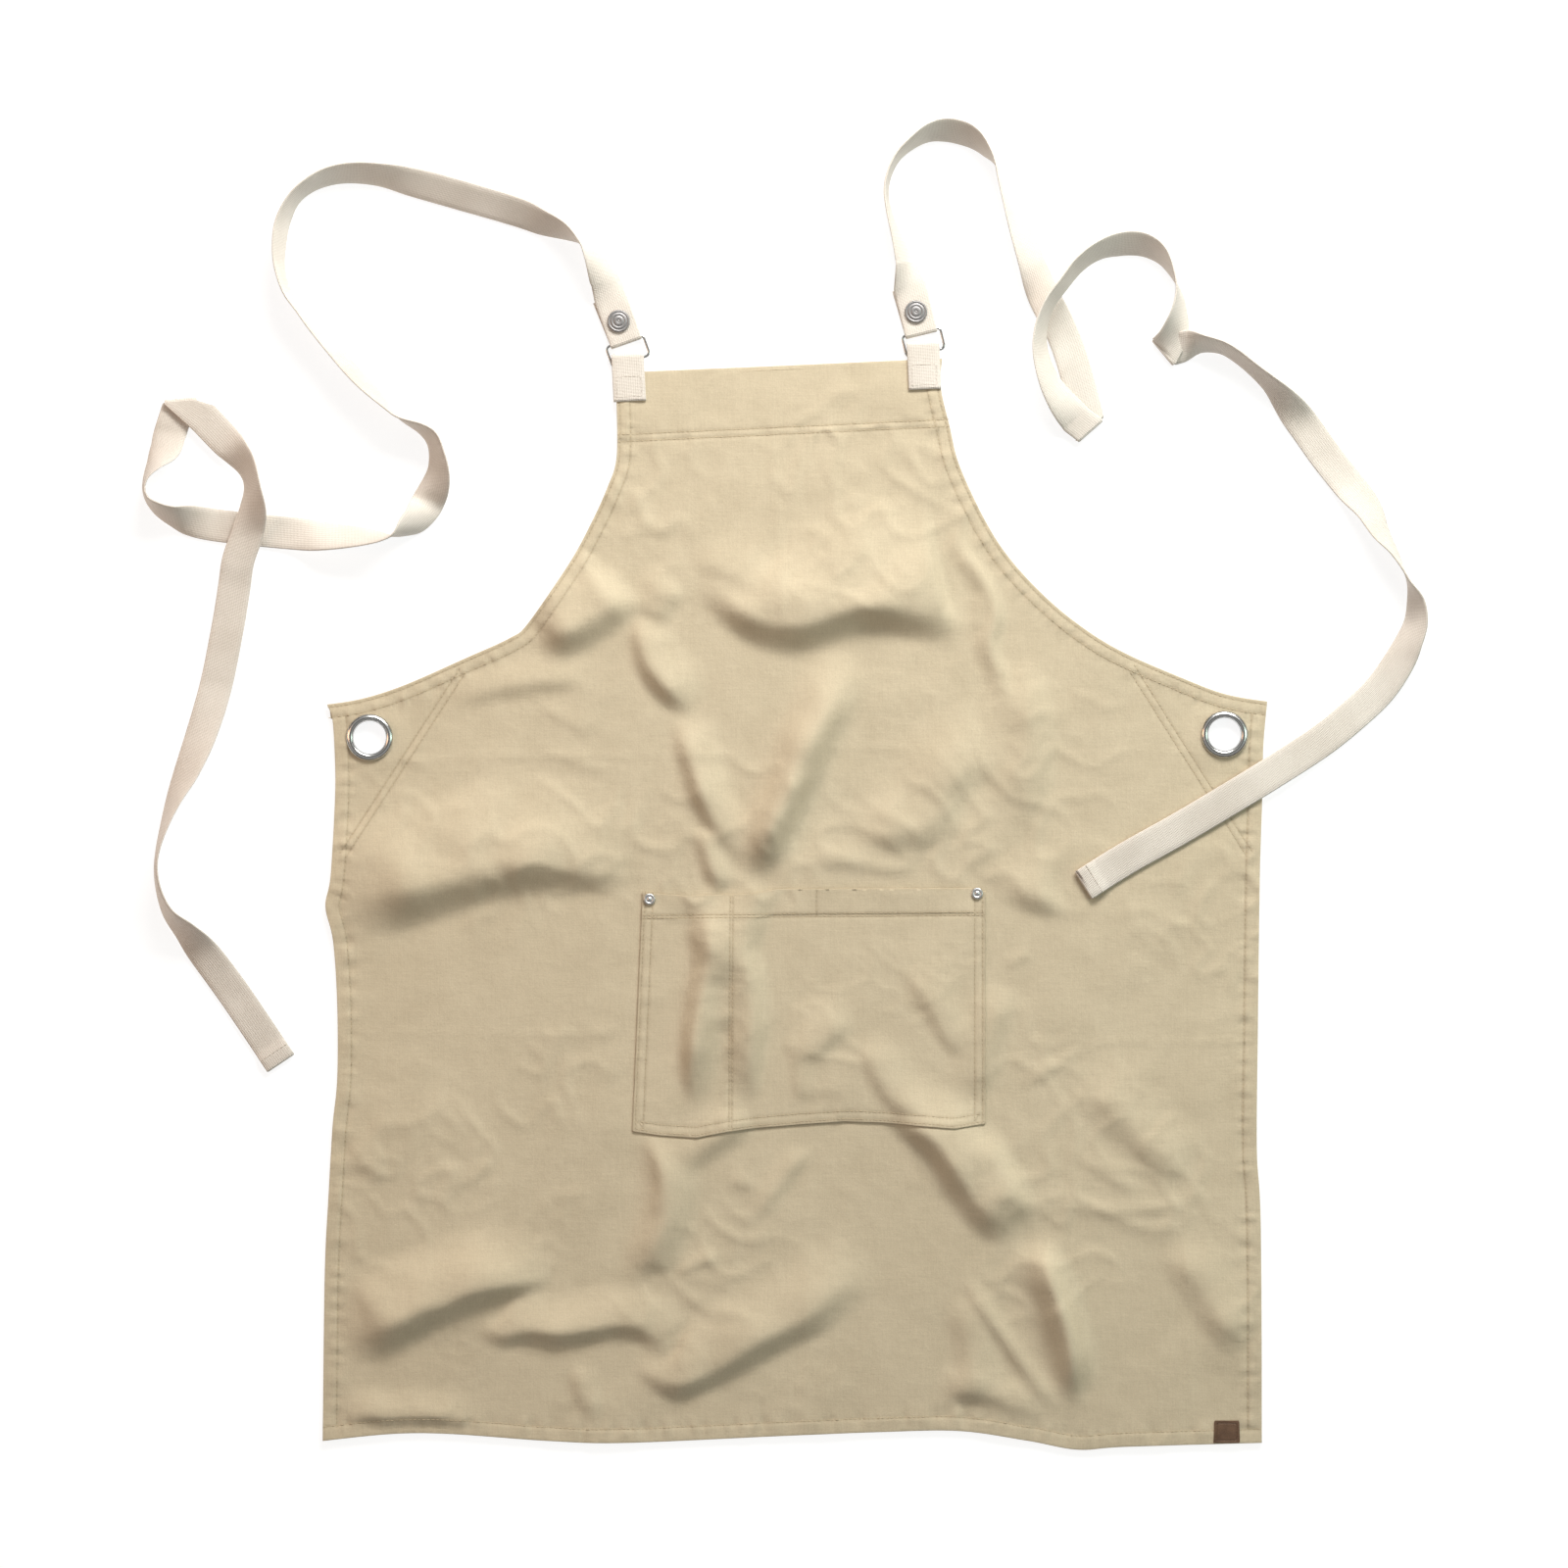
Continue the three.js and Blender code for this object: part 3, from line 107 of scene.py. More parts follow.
RIVET_DIAMETER = 8.9
RIVET_HEIGHT = 2
RIVET_SHANK = 3
RIVET_BURR_DIAMETER = 7
RIVET_BURR = 0.9
LABEL_WIDTH = 19.5
LABEL_HEIGHT = 16.6
LABEL = 1.2
LABEL_FROM_SIDE = 26
GAP = 0.3

# Levels over the floor where the cloth is flat
PANEL_BASE = CLOTH + GAP
PANEL_TOP = PANEL_BASE + CLOTH
POCKET_BASE = PANEL_TOP + GAP
POCKET_TOP = POCKET_BASE + CLOTH
TAB_SEAT = TAB_WEBBING + GAP
WASHER_SEAT = WASHER + GAP
RIDE = PANEL_TOP + WASHER_SEAT + GAP
TAB_FRONT = TAB_SEAT + PANEL_TOP + GAP
BAR_LEVEL = (TAB_WEBBING + TAB_FRONT) / 2

# Sizes that only the finish has
CLOTH_PITCH = 3.7
EDGE_PITCH = 2.1
EDGE_BAND = 14
STRAP_PITCH = 3
STITCH = 2.7
STITCH_GAP = 0.7
THREAD = 0.55
HEM_STITCH_IN = 10.2
EDGE_STITCH_IN = 2.2
TWIN_STITCH = 5.2
CLOSE_STITCH = 2.2
OUTLINE_PITCH = 2.5
EDGE_ROUND = 0.45
RIM_CLEAR = 1.1
SEAM_ROWS = (-3.4, -2, -0.9, 0, 0.9, 2, 3.4)
ROW_STEP = 0.866  # between rows of a lattice, in shares of its pitch
EDGE_IN = 0.95  # how far the cloth behind keeps inside the panel's turned edge
BACK_GAP = 0.5
STRIP_END = 1.5
# how far the painted shadow by the seams and the pocket's rim reaches
PAINTED_SHADOW_REACH = 0.85
STITCH_SINK = 0.08
WAVER = 0.16
WAVER_PITCH = 12

# The height field of the cloth: its folds, what crumples it between them, and what holds it down
FIELD_PITCH = 1.4
FIELD_MARGIN = 20
FOLD_DEPTH = 1.7
FOLD_SPREAD = 1.05
FOLD_UNEVENNESS = 0.28
SLOPE_STEP = 9
SWELL = 1.3
WARP = 14
CRUMPLE = 1.3
SMALL_CRUMPLE = 0.6
RIPPLE = 0.24
CREASE_STEP = 12
CREASE_REACH = 6
CREASE_HEIGHT = 0.5
CREASE_SPREAD = 1.9
DEEPEST_GROOVE = 0.42
GROOVE_SPREAD = 1.2
PUCKER_PITCH = 3.6
PUCKER_SPREAD = 5.5
SEAM_STEP = 7
HEM_RISE = 0.55
DIP_SHARE = 0.15
LOWEST_DIP = -0.7
UNDER_STRAP = 0.6
STRAP_ON_CLOTH = [(1104, 903), (1330, 770)]  # in the photo's pixels

# The pocket's mouth: how thick its hem is, how far it gapes, and where, in shares of the pocket's width,
# with the half-width in millimetres and the share of the gape
POCKET_HEM_RISE = 0.45
POCKET_GAPE = 2.1
GAPE_DEPTH = 11
POCKET_GAPES = ((-0.33, 16, 1), (-0.16, 13, 0.8), (0.25, 45, 0.5))
RIVET_HOLD = 9

# Colours and light
TWILL_DARK = (0.53, 0.445, 0.31)
TWILL_LIGHT = (0.69, 0.595, 0.43)
# Painted shadow: the cloth's colour darkens towards this along its seams and round the pocket's rim
SEAM_PAINTED_SHADOW = (0.3, 0.23, 0.14)
SEAM_SHADOW_STRENGTH = 0.36
WEBBING_DARK = (0.6, 0.54, 0.47)
WEBBING_LIGHT = (0.8, 0.745, 0.675)
LEATHER_DARK = (0.085, 0.045, 0.026)
LEATHER_LIGHT = (0.17, 0.095, 0.055)
THREAD_DARK = (0.44, 0.35, 0.22)
THREAD_LIGHT = (0.6, 0.5, 0.34)
BRIGHT_NICKEL = (0.6, 0.6, 0.59)
DULL_NICKEL = (0.37, 0.36, 0.36)
RIVET_NICKEL = (0.64, 0.64, 0.64)
FLOOR_SHADE = (0.3, 0.3, 0.3)
FLOOR_GLOW = 0.82
FLOOR_REACH = 4.0
FLOOR_LEVEL = -0.0005
SKY_STRENGTH = 0.46
SKY_STEPS = ((0.0, 0.02), (0.3, 0.05), (0.5, 0.9), (0.8, 1.0), (0.93, 0.35), (1.0, 0.3))
LIT_POINT = (0, -0.1, 0)
# Softboxes: place and size in metres, power in watts, colour
SOFTBOXES = {
    "key": ((0.42, 1.66, 1.06), (1.5, 0.6), 53, (1.0, 0.985, 0.955)),
    "fill_left": ((-1.7, 0.2, 0.9), (0.6, 1.2), 7, (1.0, 0.6, 0.36)),
    "fill_right": ((1.8, 0.1, 1.0), (0.6, 1.2), 7, (0.76, 1.0, 0.86)),
}
LENS = 200
SENSOR = 36
CLIP_END = 30
PHOTO_SIDE = 1600

# The outline, in shares of the apron's width from its centre line and of its length from the bottom
LEFT_ARMHOLE = [
    (-0.1898, 0.9886), (-0.1885, 0.9621), (-0.1885, 0.9104), (-0.1985, 0.8823), (-0.2145, 0.8515),
    (-0.2385, 0.813), (-0.2824, 0.7576), (-0.302, 0.7437), (-0.35, 0.7247), (-0.4145, 0.7),
    (-0.4595, 0.6875), (-0.4965, 0.6822),
]
RIGHT_ARMHOLE = [
    (0.1578, 1.0018), (0.1562, 0.9758), (0.1662, 0.9378), (0.1762, 0.9032), (0.204, 0.8515),
    (0.232, 0.8147), (0.2718, 0.7783), (0.3117, 0.7507), (0.3516, 0.73), (0.4115, 0.7073),
    (0.4582, 0.692), (0.5035, 0.685),
]
LEFT_SIDE = [
    (-0.4965, 0.6822), (-0.4905, 0.6676), (-0.4878, 0.6273), (-0.488, 0.5924), (-0.4925, 0.5236),
    (-0.498, 0.4955), (-0.49, 0.4638), (-0.4855, 0.405), (-0.4855, 0.337), (-0.4905, 0.2917),
    (-0.4948, 0.2283), (-0.4988, 0.1558), (-0.501, 0.0018),
]
RIGHT_SIDE = [
    (0.5035, 0.685), (0.4994, 0.644), (0.498, 0.5888), (0.4956, 0.519), (0.4936, 0.3823),
    (0.4925, 0.2736), (0.4967, 0.2011), (0.4978, 0.0),
]
BOTTOM = [
    (-0.501, 0.0018), (-0.428, 0.0082), (-0.3655, 0.0082), (-0.2615, 0.0018), (-0.178, 0.0),
    (-0.0112, 0.0064), (0.0932, 0.01), (0.1766, 0.0109), (0.2495, 0.0018), (0.3016, -0.0063),
    (0.3538, -0.0036), (0.4978, 0.0),
]
POCKET_EDGE = [
    (-0.484, 0.9825), (-0.513, -0.016), (-0.434, -0.033), (-0.329, -0.043), (-0.246, -0.019),
    (-0.163, -0.003), (-0.02, 0.014), (0.093, 0.025), (0.205, 0.02), (0.409, -0.004),
    (0.499, 0.016), (0.499, 0.987), (0.455, 1.0), (-0.096, 0.997), (-0.163, 0.976), (-0.36, 0.968),
]
POCKET_RIVETS = {"left": (-0.464, 0.954), "right": (0.475, 0.978)}
DIVIDER = -0.232  # the pocket's dividing seam, in shares of its width

# Where the webbing hangs: the ring's bar in the strap's fold and the fold of the tab, turned in degrees
FITTINGS = {
    "left": {"bar": (-0.1789, 1.0184), "bar_turn": 19.5, "ring_shift": -1,
             "tab_fold": (-0.1767, 1.0031), "tab_turn": 3},
    "right": {"bar": (0.1351, 1.0265), "bar_turn": 13.7, "ring_shift": 0,
              "tab_fold": (0.1374, 1.0141), "tab_turn": 2.5},
}

# Slopes of the cloth as the photo shows them. Each has its rise, its width at both ends and its reach,
# in millimetres, and its way in the photo's pixels. The cloth is higher on the left of the way: it
# climbs by the rise over the width, and sinks back over the reach.
PHOTO_MM = 0.7246
PHOTO_CENTRE = (801, 800)
PHOTO_AT_CENTRE = (-6.5, 487.0)
SLOPES = [
    (6.5, 26, 20, 55, [(548, 668), (575, 660), (604, 646), (635, 625), (655, 606)]),
    (4.5, 9, 14, 30, [(652, 622), (648, 650), (656, 682), (676, 708), (694, 722), (712, 732)]),
    (2.0, 12, 12, 30, [(676, 640), (684, 620), (700, 602)]),
    (4.5, 14, 9, 26, [(686, 728), (695, 768), (706, 802), (718, 832), (735, 856), (752, 884)]),
    (3.5, 10, 8, 16, [(708, 845), (715, 866), (722, 890), (734, 914)]),
    (8.5, 20, 24, 85, [(700, 592), (726, 610), (752, 634), (786, 650), (815, 652), (845, 644),
     (876, 633), (905, 633), (941, 641), (972, 646), (996, 628)]),
    (1.2, 12, 12, 25, [(700, 578), (742, 590), (776, 612)]),
    (3.0, 7, 7, 14, [(1036, 722), (1027, 690), (1015, 658), (1021, 632), (1017, 608), (1003, 582),
     (987, 560), (981, 524)]),
    (1.2, 5, 5, 10, [(1000, 648), (1003, 626), (1001, 604)]),
    (3.2, 22, 22, 40, [(1054, 858), (1064, 800), (1064, 720), (1052, 660)]),
    (6.0, 17, 24, 32, [(782, 904), (796, 862), (816, 822), (838, 770), (860, 725), (890, 676)]),
    (3.8, 18, 16, 22, [(812, 716), (803, 768), (784, 820), (762, 872), (752, 900)]),
    (4.2, 22, 22, 50, [(862, 864), (903, 865), (944, 856), (966, 838), (982, 806), (1008, 786),
     (1040, 780)]),
    (8.0, 40, 18, 70, [(330, 948), (400, 932), (460, 916), (520, 898), (600, 900), (655, 908)]),
    (1.8, 12, 12, 22, [(455, 726), (500, 712), (550, 703), (612, 702)]),
    (3.0, 18, 20, 40, [(1006, 890), (1030, 912), (1062, 926), (1103, 922), (1165, 903)]),
    (1.4, 8, 8, 16, [(820, 886), (862, 884), (905, 892), (945, 888)]),
    # In the pocket
    (6.8, 22, 7, 24, [(716, 900), (711, 944), (714, 978), (706, 1020), (700, 1058), (699, 1098),
     (706, 1134)]),
    (5.4, 10, 20, 26, [(774, 1130), (773, 1084), (777, 1040), (774, 1000), (767, 968), (777, 933),
     (792, 900)]),
    (1.2, 8, 8, 12, [(742, 1056), (752, 1024), (764, 1000)]),
    (2.2, 9, 16, 30, [(808, 1082), (834, 1077), (858, 1056), (876, 1048)]),
    (2.2, 10, 12, 30, [(880, 1054), (884, 1084), (896, 1112), (915, 1132), (950, 1138)]),
    (1.2, 8, 10, 14, [(798, 1052), (808, 1084), (813, 1130)]),
    (2.0, 14, 9, 26, [(920, 990), (943, 1028), (962, 1062), (988, 1088)]),
    (2.2, 18, 18, 26, [(1009, 1126), (1013, 1090), (1026, 1044), (1036, 1000)]),
    # Below the pocket, to the right
    (7.5, 12, 24, 42, [(898, 1140), (930, 1158), (952, 1176), (971, 1206), (991, 1236), (1014, 1256),
     (1046, 1268)]),
    (6.0, 34, 20, 16, [(1036, 1270), (1060, 1320), (1080, 1376), (1092, 1428)]),
    (3.6, 10, 8, 18, [(1108, 1444), (1100, 1402), (1094, 1352), (1078, 1306), (1066, 1262)]),
    (2.6, 14, 14, 24, [(1064, 1252), (1042, 1213), (1025, 1180), (1016, 1146)]),
    (2.2, 7, 7, 12, [(976, 1300), (1012, 1356), (1056, 1418), (1082, 1444)]),
    (2.4, 18, 18, 26, [(966, 1322), (980, 1380), (976, 1436)]),
    (2.6, 24, 18, 36, [(1090, 1120), (1136, 1150), (1177, 1187), (1208, 1216)]),
    (3.0, 22, 18, 34, [(1180, 1276), (1209, 1313), (1234, 1350), (1268, 1386)]),
    (0.8, 5, 5, 10, [(1040, 1246), (1090, 1236), (1140, 1240), (1190, 1236), (1236, 1222)]),
    (0.9, 5, 5, 10, [(1092, 1180), (1122, 1198), (1160, 1222)]),
    (0.9, 5, 5, 10, [(1040, 1116), (1062, 1102), (1087, 1086), (1112, 1072)]),
    (1.0, 5, 5, 9, [(1024, 990), (1036, 986), (1056, 972)]),
    # Below the pocket, to the left
    (4.5, 26, 24, 22, [(648, 1154), (664, 1180), (670, 1210), (664, 1244), (646, 1290), (652, 1316)]),
    (1.4, 5, 5, 10, [(652, 1158), (668, 1186), (671, 1214), (662, 1244)]),
    (2.6, 16, 16, 26, [(696, 1200), (724, 1178), (750, 1162), (776, 1150)]),
    (1.6, 8, 8, 16, [(770, 1244), (794, 1220), (812, 1196), (832, 1172)]),
    (1.2, 5, 5, 9, [(690, 1310), (712, 1292), (740, 1284)]),
    (1.0, 7, 7, 12, [(740, 1204), (762, 1214), (776, 1212)]),
    (6.0, 9, 24, 44, [(650, 1380), (656, 1402), (673, 1416), (694, 1420), (716, 1412), (743, 1399),
     (772, 1382), (806, 1363), (834, 1350), (866, 1324), (904, 1306)]),
    (4.5, 10, 10, 34, [(486, 1340), (496, 1362), (516, 1369), (540, 1364), (564, 1368), (588, 1366),
     (612, 1361), (636, 1358), (656, 1362), (670, 1378), (690, 1392)]),
    (7.5, 30, 7, 48, [(345, 1384), (385, 1375), (408, 1362), (430, 1350), (455, 1340), (480, 1329),
     (506, 1322), (535, 1316), (570, 1306)]),
    (1.6, 9, 9, 16, [(584, 1392), (589, 1424), (606, 1452)]),
    (2.4, 9, 7, 24, [(340, 1450), (397, 1450), (440, 1450), (500, 1454)]),
    (1.8, 12, 10, 22, [(955, 1436), (985, 1426), (1020, 1434), (1060, 1452)]),
    (0.5, 4, 4, 7, [(560, 1225), (585, 1222), (606, 1221)]),
    (0.7, 4, 4, 8, [(547, 721), (575, 738), (608, 756)]),
    (0.6, 4, 4, 8, [(1044, 744), (1060, 732), (1082, 724)]),
    (1.2, 14, 14, 20, [(350, 1170), (370, 1195), (385, 1215)]),
]
# Creases pressed in by folding, in the photo's pixels
CREASES = [
    [(345, 778), (470, 773), (600, 771), (765, 770)],
    [(841, 763), (890, 763), (935, 765)],
    [(1090, 771), (1180, 768), (1282, 766)],
    [(345, 1052), (480, 1055), (640, 1056)],
    [(1103, 1069), (1144, 1062), (1226, 1062), (1283, 1064)],
    [(788, 450), (790, 500), (796, 560), (797, 640)],
    [(826, 1160), (824, 1300), (822, 1450)],
    [(604, 1375), (606, 1420), (608, 1466)],
    [(412, 703), (411, 790)],
    [(1209, 1240), (1212, 1340), (1215, 1466)],
]

# The straps' routes, as in the part: x and y run from the ring in thousandths of the strap's length,
# across_x and across_y across the webbing, and rise is how far that edge stands up, in shares of its
# width. layer says how far it rides over what it crosses, and fold turns it over on itself.
# The columns are x, y, across_x, across_y, rise, layer and fold.
LEFT_ROUTE = [
    (-10.3, 30.7, -0.91, -0.15, 0.4, 0, 0),
    (-14.9, 41.1, -0.63, -0.12, 0.76, 0, 0),
    (-19.3, 47.6, -0.35, -0.06, 0.94, 0, 0),
    (-24.3, 52.2, 0.02, -0.02, 1, 0, 0),
    (-32.3, 57.7, 0.15, 0.42, 0.9, 0, 0),
    (-43.3, 62.2, 0.27, 0.66, 0.7, 0, 0),
    (-57, 68, 0.27, 0.82, 0.51, 0, 0),
    (-92.5, 78.5, 0.24, 0.86, 0.45, 0, 0),
    (-109.6, 83, 0.18, 0.83, 0.53, 0, 0),
    (-125.8, 86.7, 0.12, 0.66, 0.74, 0, 0),
    (-141.1, 87.8, 0.03, 0.59, 0.81, 0, 0),
    (-153.2, 85.9, -0.15, 0.48, 0.86, 0, 0),
    (-163.6, 80.9, -0.24, 0.3, 0.92, 0, 0),
    (-171.4, 73.6, -0.3, 0.18, 0.95, 0, 0),
    (-176.6, 62.5, -0.39, 0.09, 0.92, 0, 0),
    (-178.4, 50.9, -0.36, 0.03, 0.93, 0, 0),
    (-178.1, 38.8, -0.26, -0.03, 0.97, 0, 0),
    (-174.3, 26.7, -0.2, -0.09, 0.98, 0, 0),
    (-167.3, 18.1, -0.27, -0.17, 0.95, 0, 0),
    (-157, 5.7, -0.36, -0.28, 0.9, 0, 0),
    (-138.4, -16.6, -0.31, -0.3, 0.9, 0, 0),
    (-123.2, -31.9, -0.12, -0.16, 0.97, 0, 0),
    (-116.7, -38.2, 0, 0, 1, 0, 0),
    (-105.6, -43.6, 0.14, 0.24, 0.96, 0, 0),
    (-99.8, -49.1, 0.3, 0.34, 0.9, 0, 0),
    (-97.4, -57.7, 0.5, 0.18, 0.85, 0, 0),
    (-97, -65.8, 0.7, 0, 0.7, 0, 0),
    (-99.8, -75.6, 0.92, -0.12, 0.35, 0, 0),
    (-105.6, -87.2, 0.78, -0.39, -0.48, 0, 0),
    (-110.9, -93.2, 0.55, -0.38, -0.74, 0, 0),
    (-116.2, -96.8, 0.24, -0.18, -0.94, 0, 0),
    (-120.8, -98.7, 0, 0.03, -1, 0, 0),
    (-128, -99, -0.03, 0.36, -0.93, 0, 0),
    (-139.6, -99, -0.03, 0.63, -0.77, 0, 0),
    (-155.7, -98.7, -0.03, 0.86, -0.5, 0, 0),
    (-171.1, -97.3, 0, 0.98, -0.1, 0, 0),
    (-191.8, -95.3, 0.06, 1, 0, 0, 0),
    (-209.7, -93.2, 0.09, 1, 0, 0, 0),
    (-223, -91, 0.14, 0.9, 0.35, 0, 0),
    (-232.6, -88.8, 0.16, 0.6, 0.8, 0, 0),
    (-240.4, -85.1, 0.17, 0.35, 0.93, 0, 0),
    (-246, -80, 0.11, 0.11, 0.99, 0, 0),
    (-247.8, -74.1, 0.11, 0.02, 0.99, 0, 0),
    (-246.4, -67.8, 0.2, -0.08, 0.98, 0, 0),
    (-242.6, -61.7, 0.45, -0.24, 0.86, 0, 0),
    (-237.4, -54.6, 0.86, -0.35, 0.4, 0, 0),
    (-234.6, -45.1, 1, -0.2, 0, 0, 0),
    (-229.3, -28.5, 1.25, 0.1, 0, 0, 1),
    (-217.7, -37.6, 0.72, 0.72, 0, 1, 0),
    (-207.2, -48.6, 0.72, 0.68, 0.1, 0.9, 0),
    (-200.4, -55.7, 0.6, 0.62, 0.5, 0.7, 0),
    (-194.8, -63, 0.45, 0.5, 0.72, 0.6, 0),
    (-192, -73.6, 0.55, 0.06, 0.84, 0.8, 0),
    (-192, -85.4, 0.84, -0.04, 0.53, 1, 0),
    (-194.6, -96.5, 0.97, -0.14, 0.15, 1, 0),
    (-199.6, -111.1, 0.98, -0.18, 0, 1, 0),
    (-201.8, -125, 1, -0.18, 0, 0.3, 0),
    (-204.9, -143.9, 1, -0.2, 0, 0, 0),
    (-210.9, -174.1, 1, -0.22, 0, 0, 0),
    (-218.2, -199.3, 0.93, -0.22, 0.25, 0, 0),
    (-225.9, -219.5, 0.77, -0.22, 0.6, 0, 0),
    (-232.2, -233.4, 0.5, -0.17, 0.85, 0, 0),
    (-237, -246.7, 0.29, -0.06, 0.96, 0, 0),
    (-240.7, -260.3, 0.15, 0, 0.99, 0, 0),
    (-241.6, -270.7, 0.14, 0.03, 0.99, 0, 0),
    (-239.8, -281.8, 0.2, 0.09, 0.98, 0, 0),
    (-235.1, -292.8, 0.34, 0.2, 0.92, 0, 0),
    (-226.3, -302.2, 0.57, 0.42, 0.7, 0, 0),
    (-215.7, -315, 0.8, 0.57, 0.2, 0, 0),
    (-200.1, -336.4, 0.82, 0.58, 0, 0, 0),
    (-177.7, -369.7, 0.83, 0.55, 0, 0, 0),
]
RIGHT_ROUTE = [
    (-9, 39.1, -0.56, -0.12, 0.82, 0, 0),
    (-13.6, 53.9, -0.32, -0.09, 0.94, 0, 0),
    (-18.3, 69, -0.14, -0.03, 0.99, 0, 0),
    (-19.6, 80.1, -0.12, 0, 0.99, 0, 0),
    (-17.6, 89.8, -0.12, 0.06, 0.99, 0, 0),
    (-12.8, 98.7, -0.14, 0.12, 0.98, 0, 0),
    (-4.8, 106, -0.17, 0.26, 0.95, 0, 0),
    (3.8, 111.3, -0.11, 0.5, 0.86, 0, 0),
    (13.3, 112.9, 0, 0.68, 0.73, 0, 0),
    (23, 111, 0.18, 0.66, 0.73, 0, 0),
    (30.3, 106.9, 0.21, 0.48, 0.85, 0, 0),
    (35.7, 101.1, 0.14, 0.25, 0.95, 0, 0),
    (40, 95.1, 0, 0, 1, 0, 0),
    (43.7, 86, -0.21, -0.08, 0.97, 0, 0),
    (48.3, 73.9, -0.42, -0.17, 0.89, 0, 0),
    (53.7, 58.3, -0.6, -0.23, 0.77, 0, 0),
    (60.5, 39.6, -0.77, -0.27, 0.55, 0, 0),
    (67.2, 21.8, -0.93, -0.3, 0.1, 0, 0),
    (74.8, 7, -0.92, -0.3, 0, 0, 0),
    (80.4, -6.2, -0.9, -0.3, 0, 0, 0),
    (85.3, -21.8, -0.94, -0.27, 0, 0, 0),
    (89.9, -39.1, -0.97, -0.3, 0, 0, 0),
    (92.8, -52.6, -0.75, -0.66, 0, 0, 1),
    (85, -46.4, -0.74, -0.66, 0, 1, 0),
    (76.4, -35.9, -0.7, -0.5, 0.5, 1, 0),
    (69.6, -24.3, -0.6, -0.24, 0.76, 1, 0),
    (65.3, -10, -0.5, -0.02, 0.86, 1, 0),
    (65.2, 3.2, -0.39, 0.11, 0.92, 1, 0),
    (69.9, 16.7, -0.3, 0.18, 0.94, 1, 0),
    (77.5, 27.5, -0.24, 0.25, 0.93, 1, 0),
    (86.6, 38.8, -0.24, 0.33, 0.91, 0.5, 0),
    (96.9, 46.3, -0.18, 0.47, 0.86, 0, 0),
    (108.2, 50, -0.06, 0.68, 0.73, 0, 0),
    (119.3, 50.4, 0.09, 0.7, 0.7, 0, 0),
    (127.9, 47.1, 0.21, 0.56, 0.8, 0, 0),
    (134.1, 41, 0.18, 0.33, 0.93, 0, 0),
    (139.2, 30.1, 0, 0, 1, 0, 0),
    (141.4, 21.3, -0.27, -0.02, 0.96, 0.2, 0),
    (141.1, 10.2, -0.6, 0.09, 0.79, 0.7, 0),
    (138.4, -0.3, -0.85, 0.24, 0.4, 1, 0),
    (132.6, -9.5, -0.6, 0.72, 0, 1, -1),
    (145.2, -5.9, 0.03, 0.85, 0.4, 0, 0),
    (154.1, -4.9, 0.06, 0.51, 0.86, 0, 0),
    (164.9, -6.9, 0.14, 0.32, 0.94, 0, 0),
    (173.5, -11.9, 0.2, 0.25, 0.95, 0, 0),
    (182.4, -19.1, 0.21, 0.26, 0.94, 0, 0),
    (191.8, -27.4, 0.32, 0.35, 0.87, 0, 0),
    (199.9, -36.4, 0.55, 0.48, 0.6, 0, 0),
    (210.4, -49.4, 0.77, 0.6, 0.1, 0, 0),
    (222.3, -66.1, 0.82, 0.6, 0, 0, 0),
    (235.5, -82.9, 0.8, 0.56, -0.1, 0, 0),
    (245.8, -95.7, 0.72, 0.42, -0.54, 0, 0),
    (252.5, -109, 0.51, 0.27, -0.81, 0, 0),
    (259, -118.4, 0.27, 0.13, -0.95, 0, 0),
    (263.7, -127, 0.11, 0.06, -0.99, 0, 0),
    (267.7, -135.7, -0.02, 0, -1, 0, 0),
    (271.4, -145.4, -0.45, 0, -0.89, 0, 0),
    (271.7, -157.2, -0.66, 0.08, -0.75, 0, 0),
    (267.9, -168.3, -0.74, 0.27, -0.6, 0, 0),
    (262.8, -179.1, -0.82, 0.42, -0.35, 0, 0),
    (253.6, -193.1, -0.75, 0.63, -0.1, 0, 0),
    (242, -205, -0.66, 0.75, 0, 0, 0),
    (220.7, -222.5, -0.57, 0.82, 0, 0.3, 0),
    (193.4, -240.3, -0.52, 0.86, 0, 1, 0),
    (165.1, -257.6, -0.51, 0.87, 0, 1, 0),
    (139.5, -272.7, -0.51, 0.87, 0, 1, 0),
    (112.5, -287.8, -0.53, 0.86, 0, 1, 0),
    (88.7, -302.7, -0.58, 0.83, 0, 1, 0),
]

rng = np.random.default_rng(7)


def on_apron(shares):
    return np.array([shares[0] * APRON_WIDTH, shares[1] * APRON_LENGTH])


def on_pocket(shares):
    return np.array([POCKET_OFFSET + shares[0] * POCKET_WIDTH,
                     POCKET_RISE + shares[1] * POCKET_HEIGHT])


def from_photo(pixels):
    """Photo pixels to millimetres on the apron."""
    points = np.array(pixels, float)
    x = (points[:, 0] - PHOTO_CENTRE[0]) * PHOTO_MM + PHOTO_AT_CENTRE[0]
    y = (PHOTO_CENTRE[1] - points[:, 1]) * PHOTO_MM + PHOTO_AT_CENTRE[1]
    return np.stack([x, y], 1)


def smooth_line(points, pitch):
    """A spline through points, at even steps of about pitch."""
    points = np.array(points, float)
    ends = np.vstack([points[:1], points, points[-1:]])
    dense = []
    for a, b, c, d in zip(ends, ends[1:], ends[2:], ends[3:]):
        for t in np.linspace(0, 1, 24, endpoint=False):
            dense.append(spline(a, b, c, d, t))
    dense.append(points[-1])
    return even_line(np.array(dense), pitch)


def spline(a, b, c, d, t):
    return b + 0.5 * t * (c - a + t * (2 * a - 5 * b + 4 * c - d + t * (3 * (b - c) + d - a)))


def distances(line):
    return np.concatenate([[0], np.cumsum(np.linalg.norm(np.diff(line, axis=0), axis=1))])


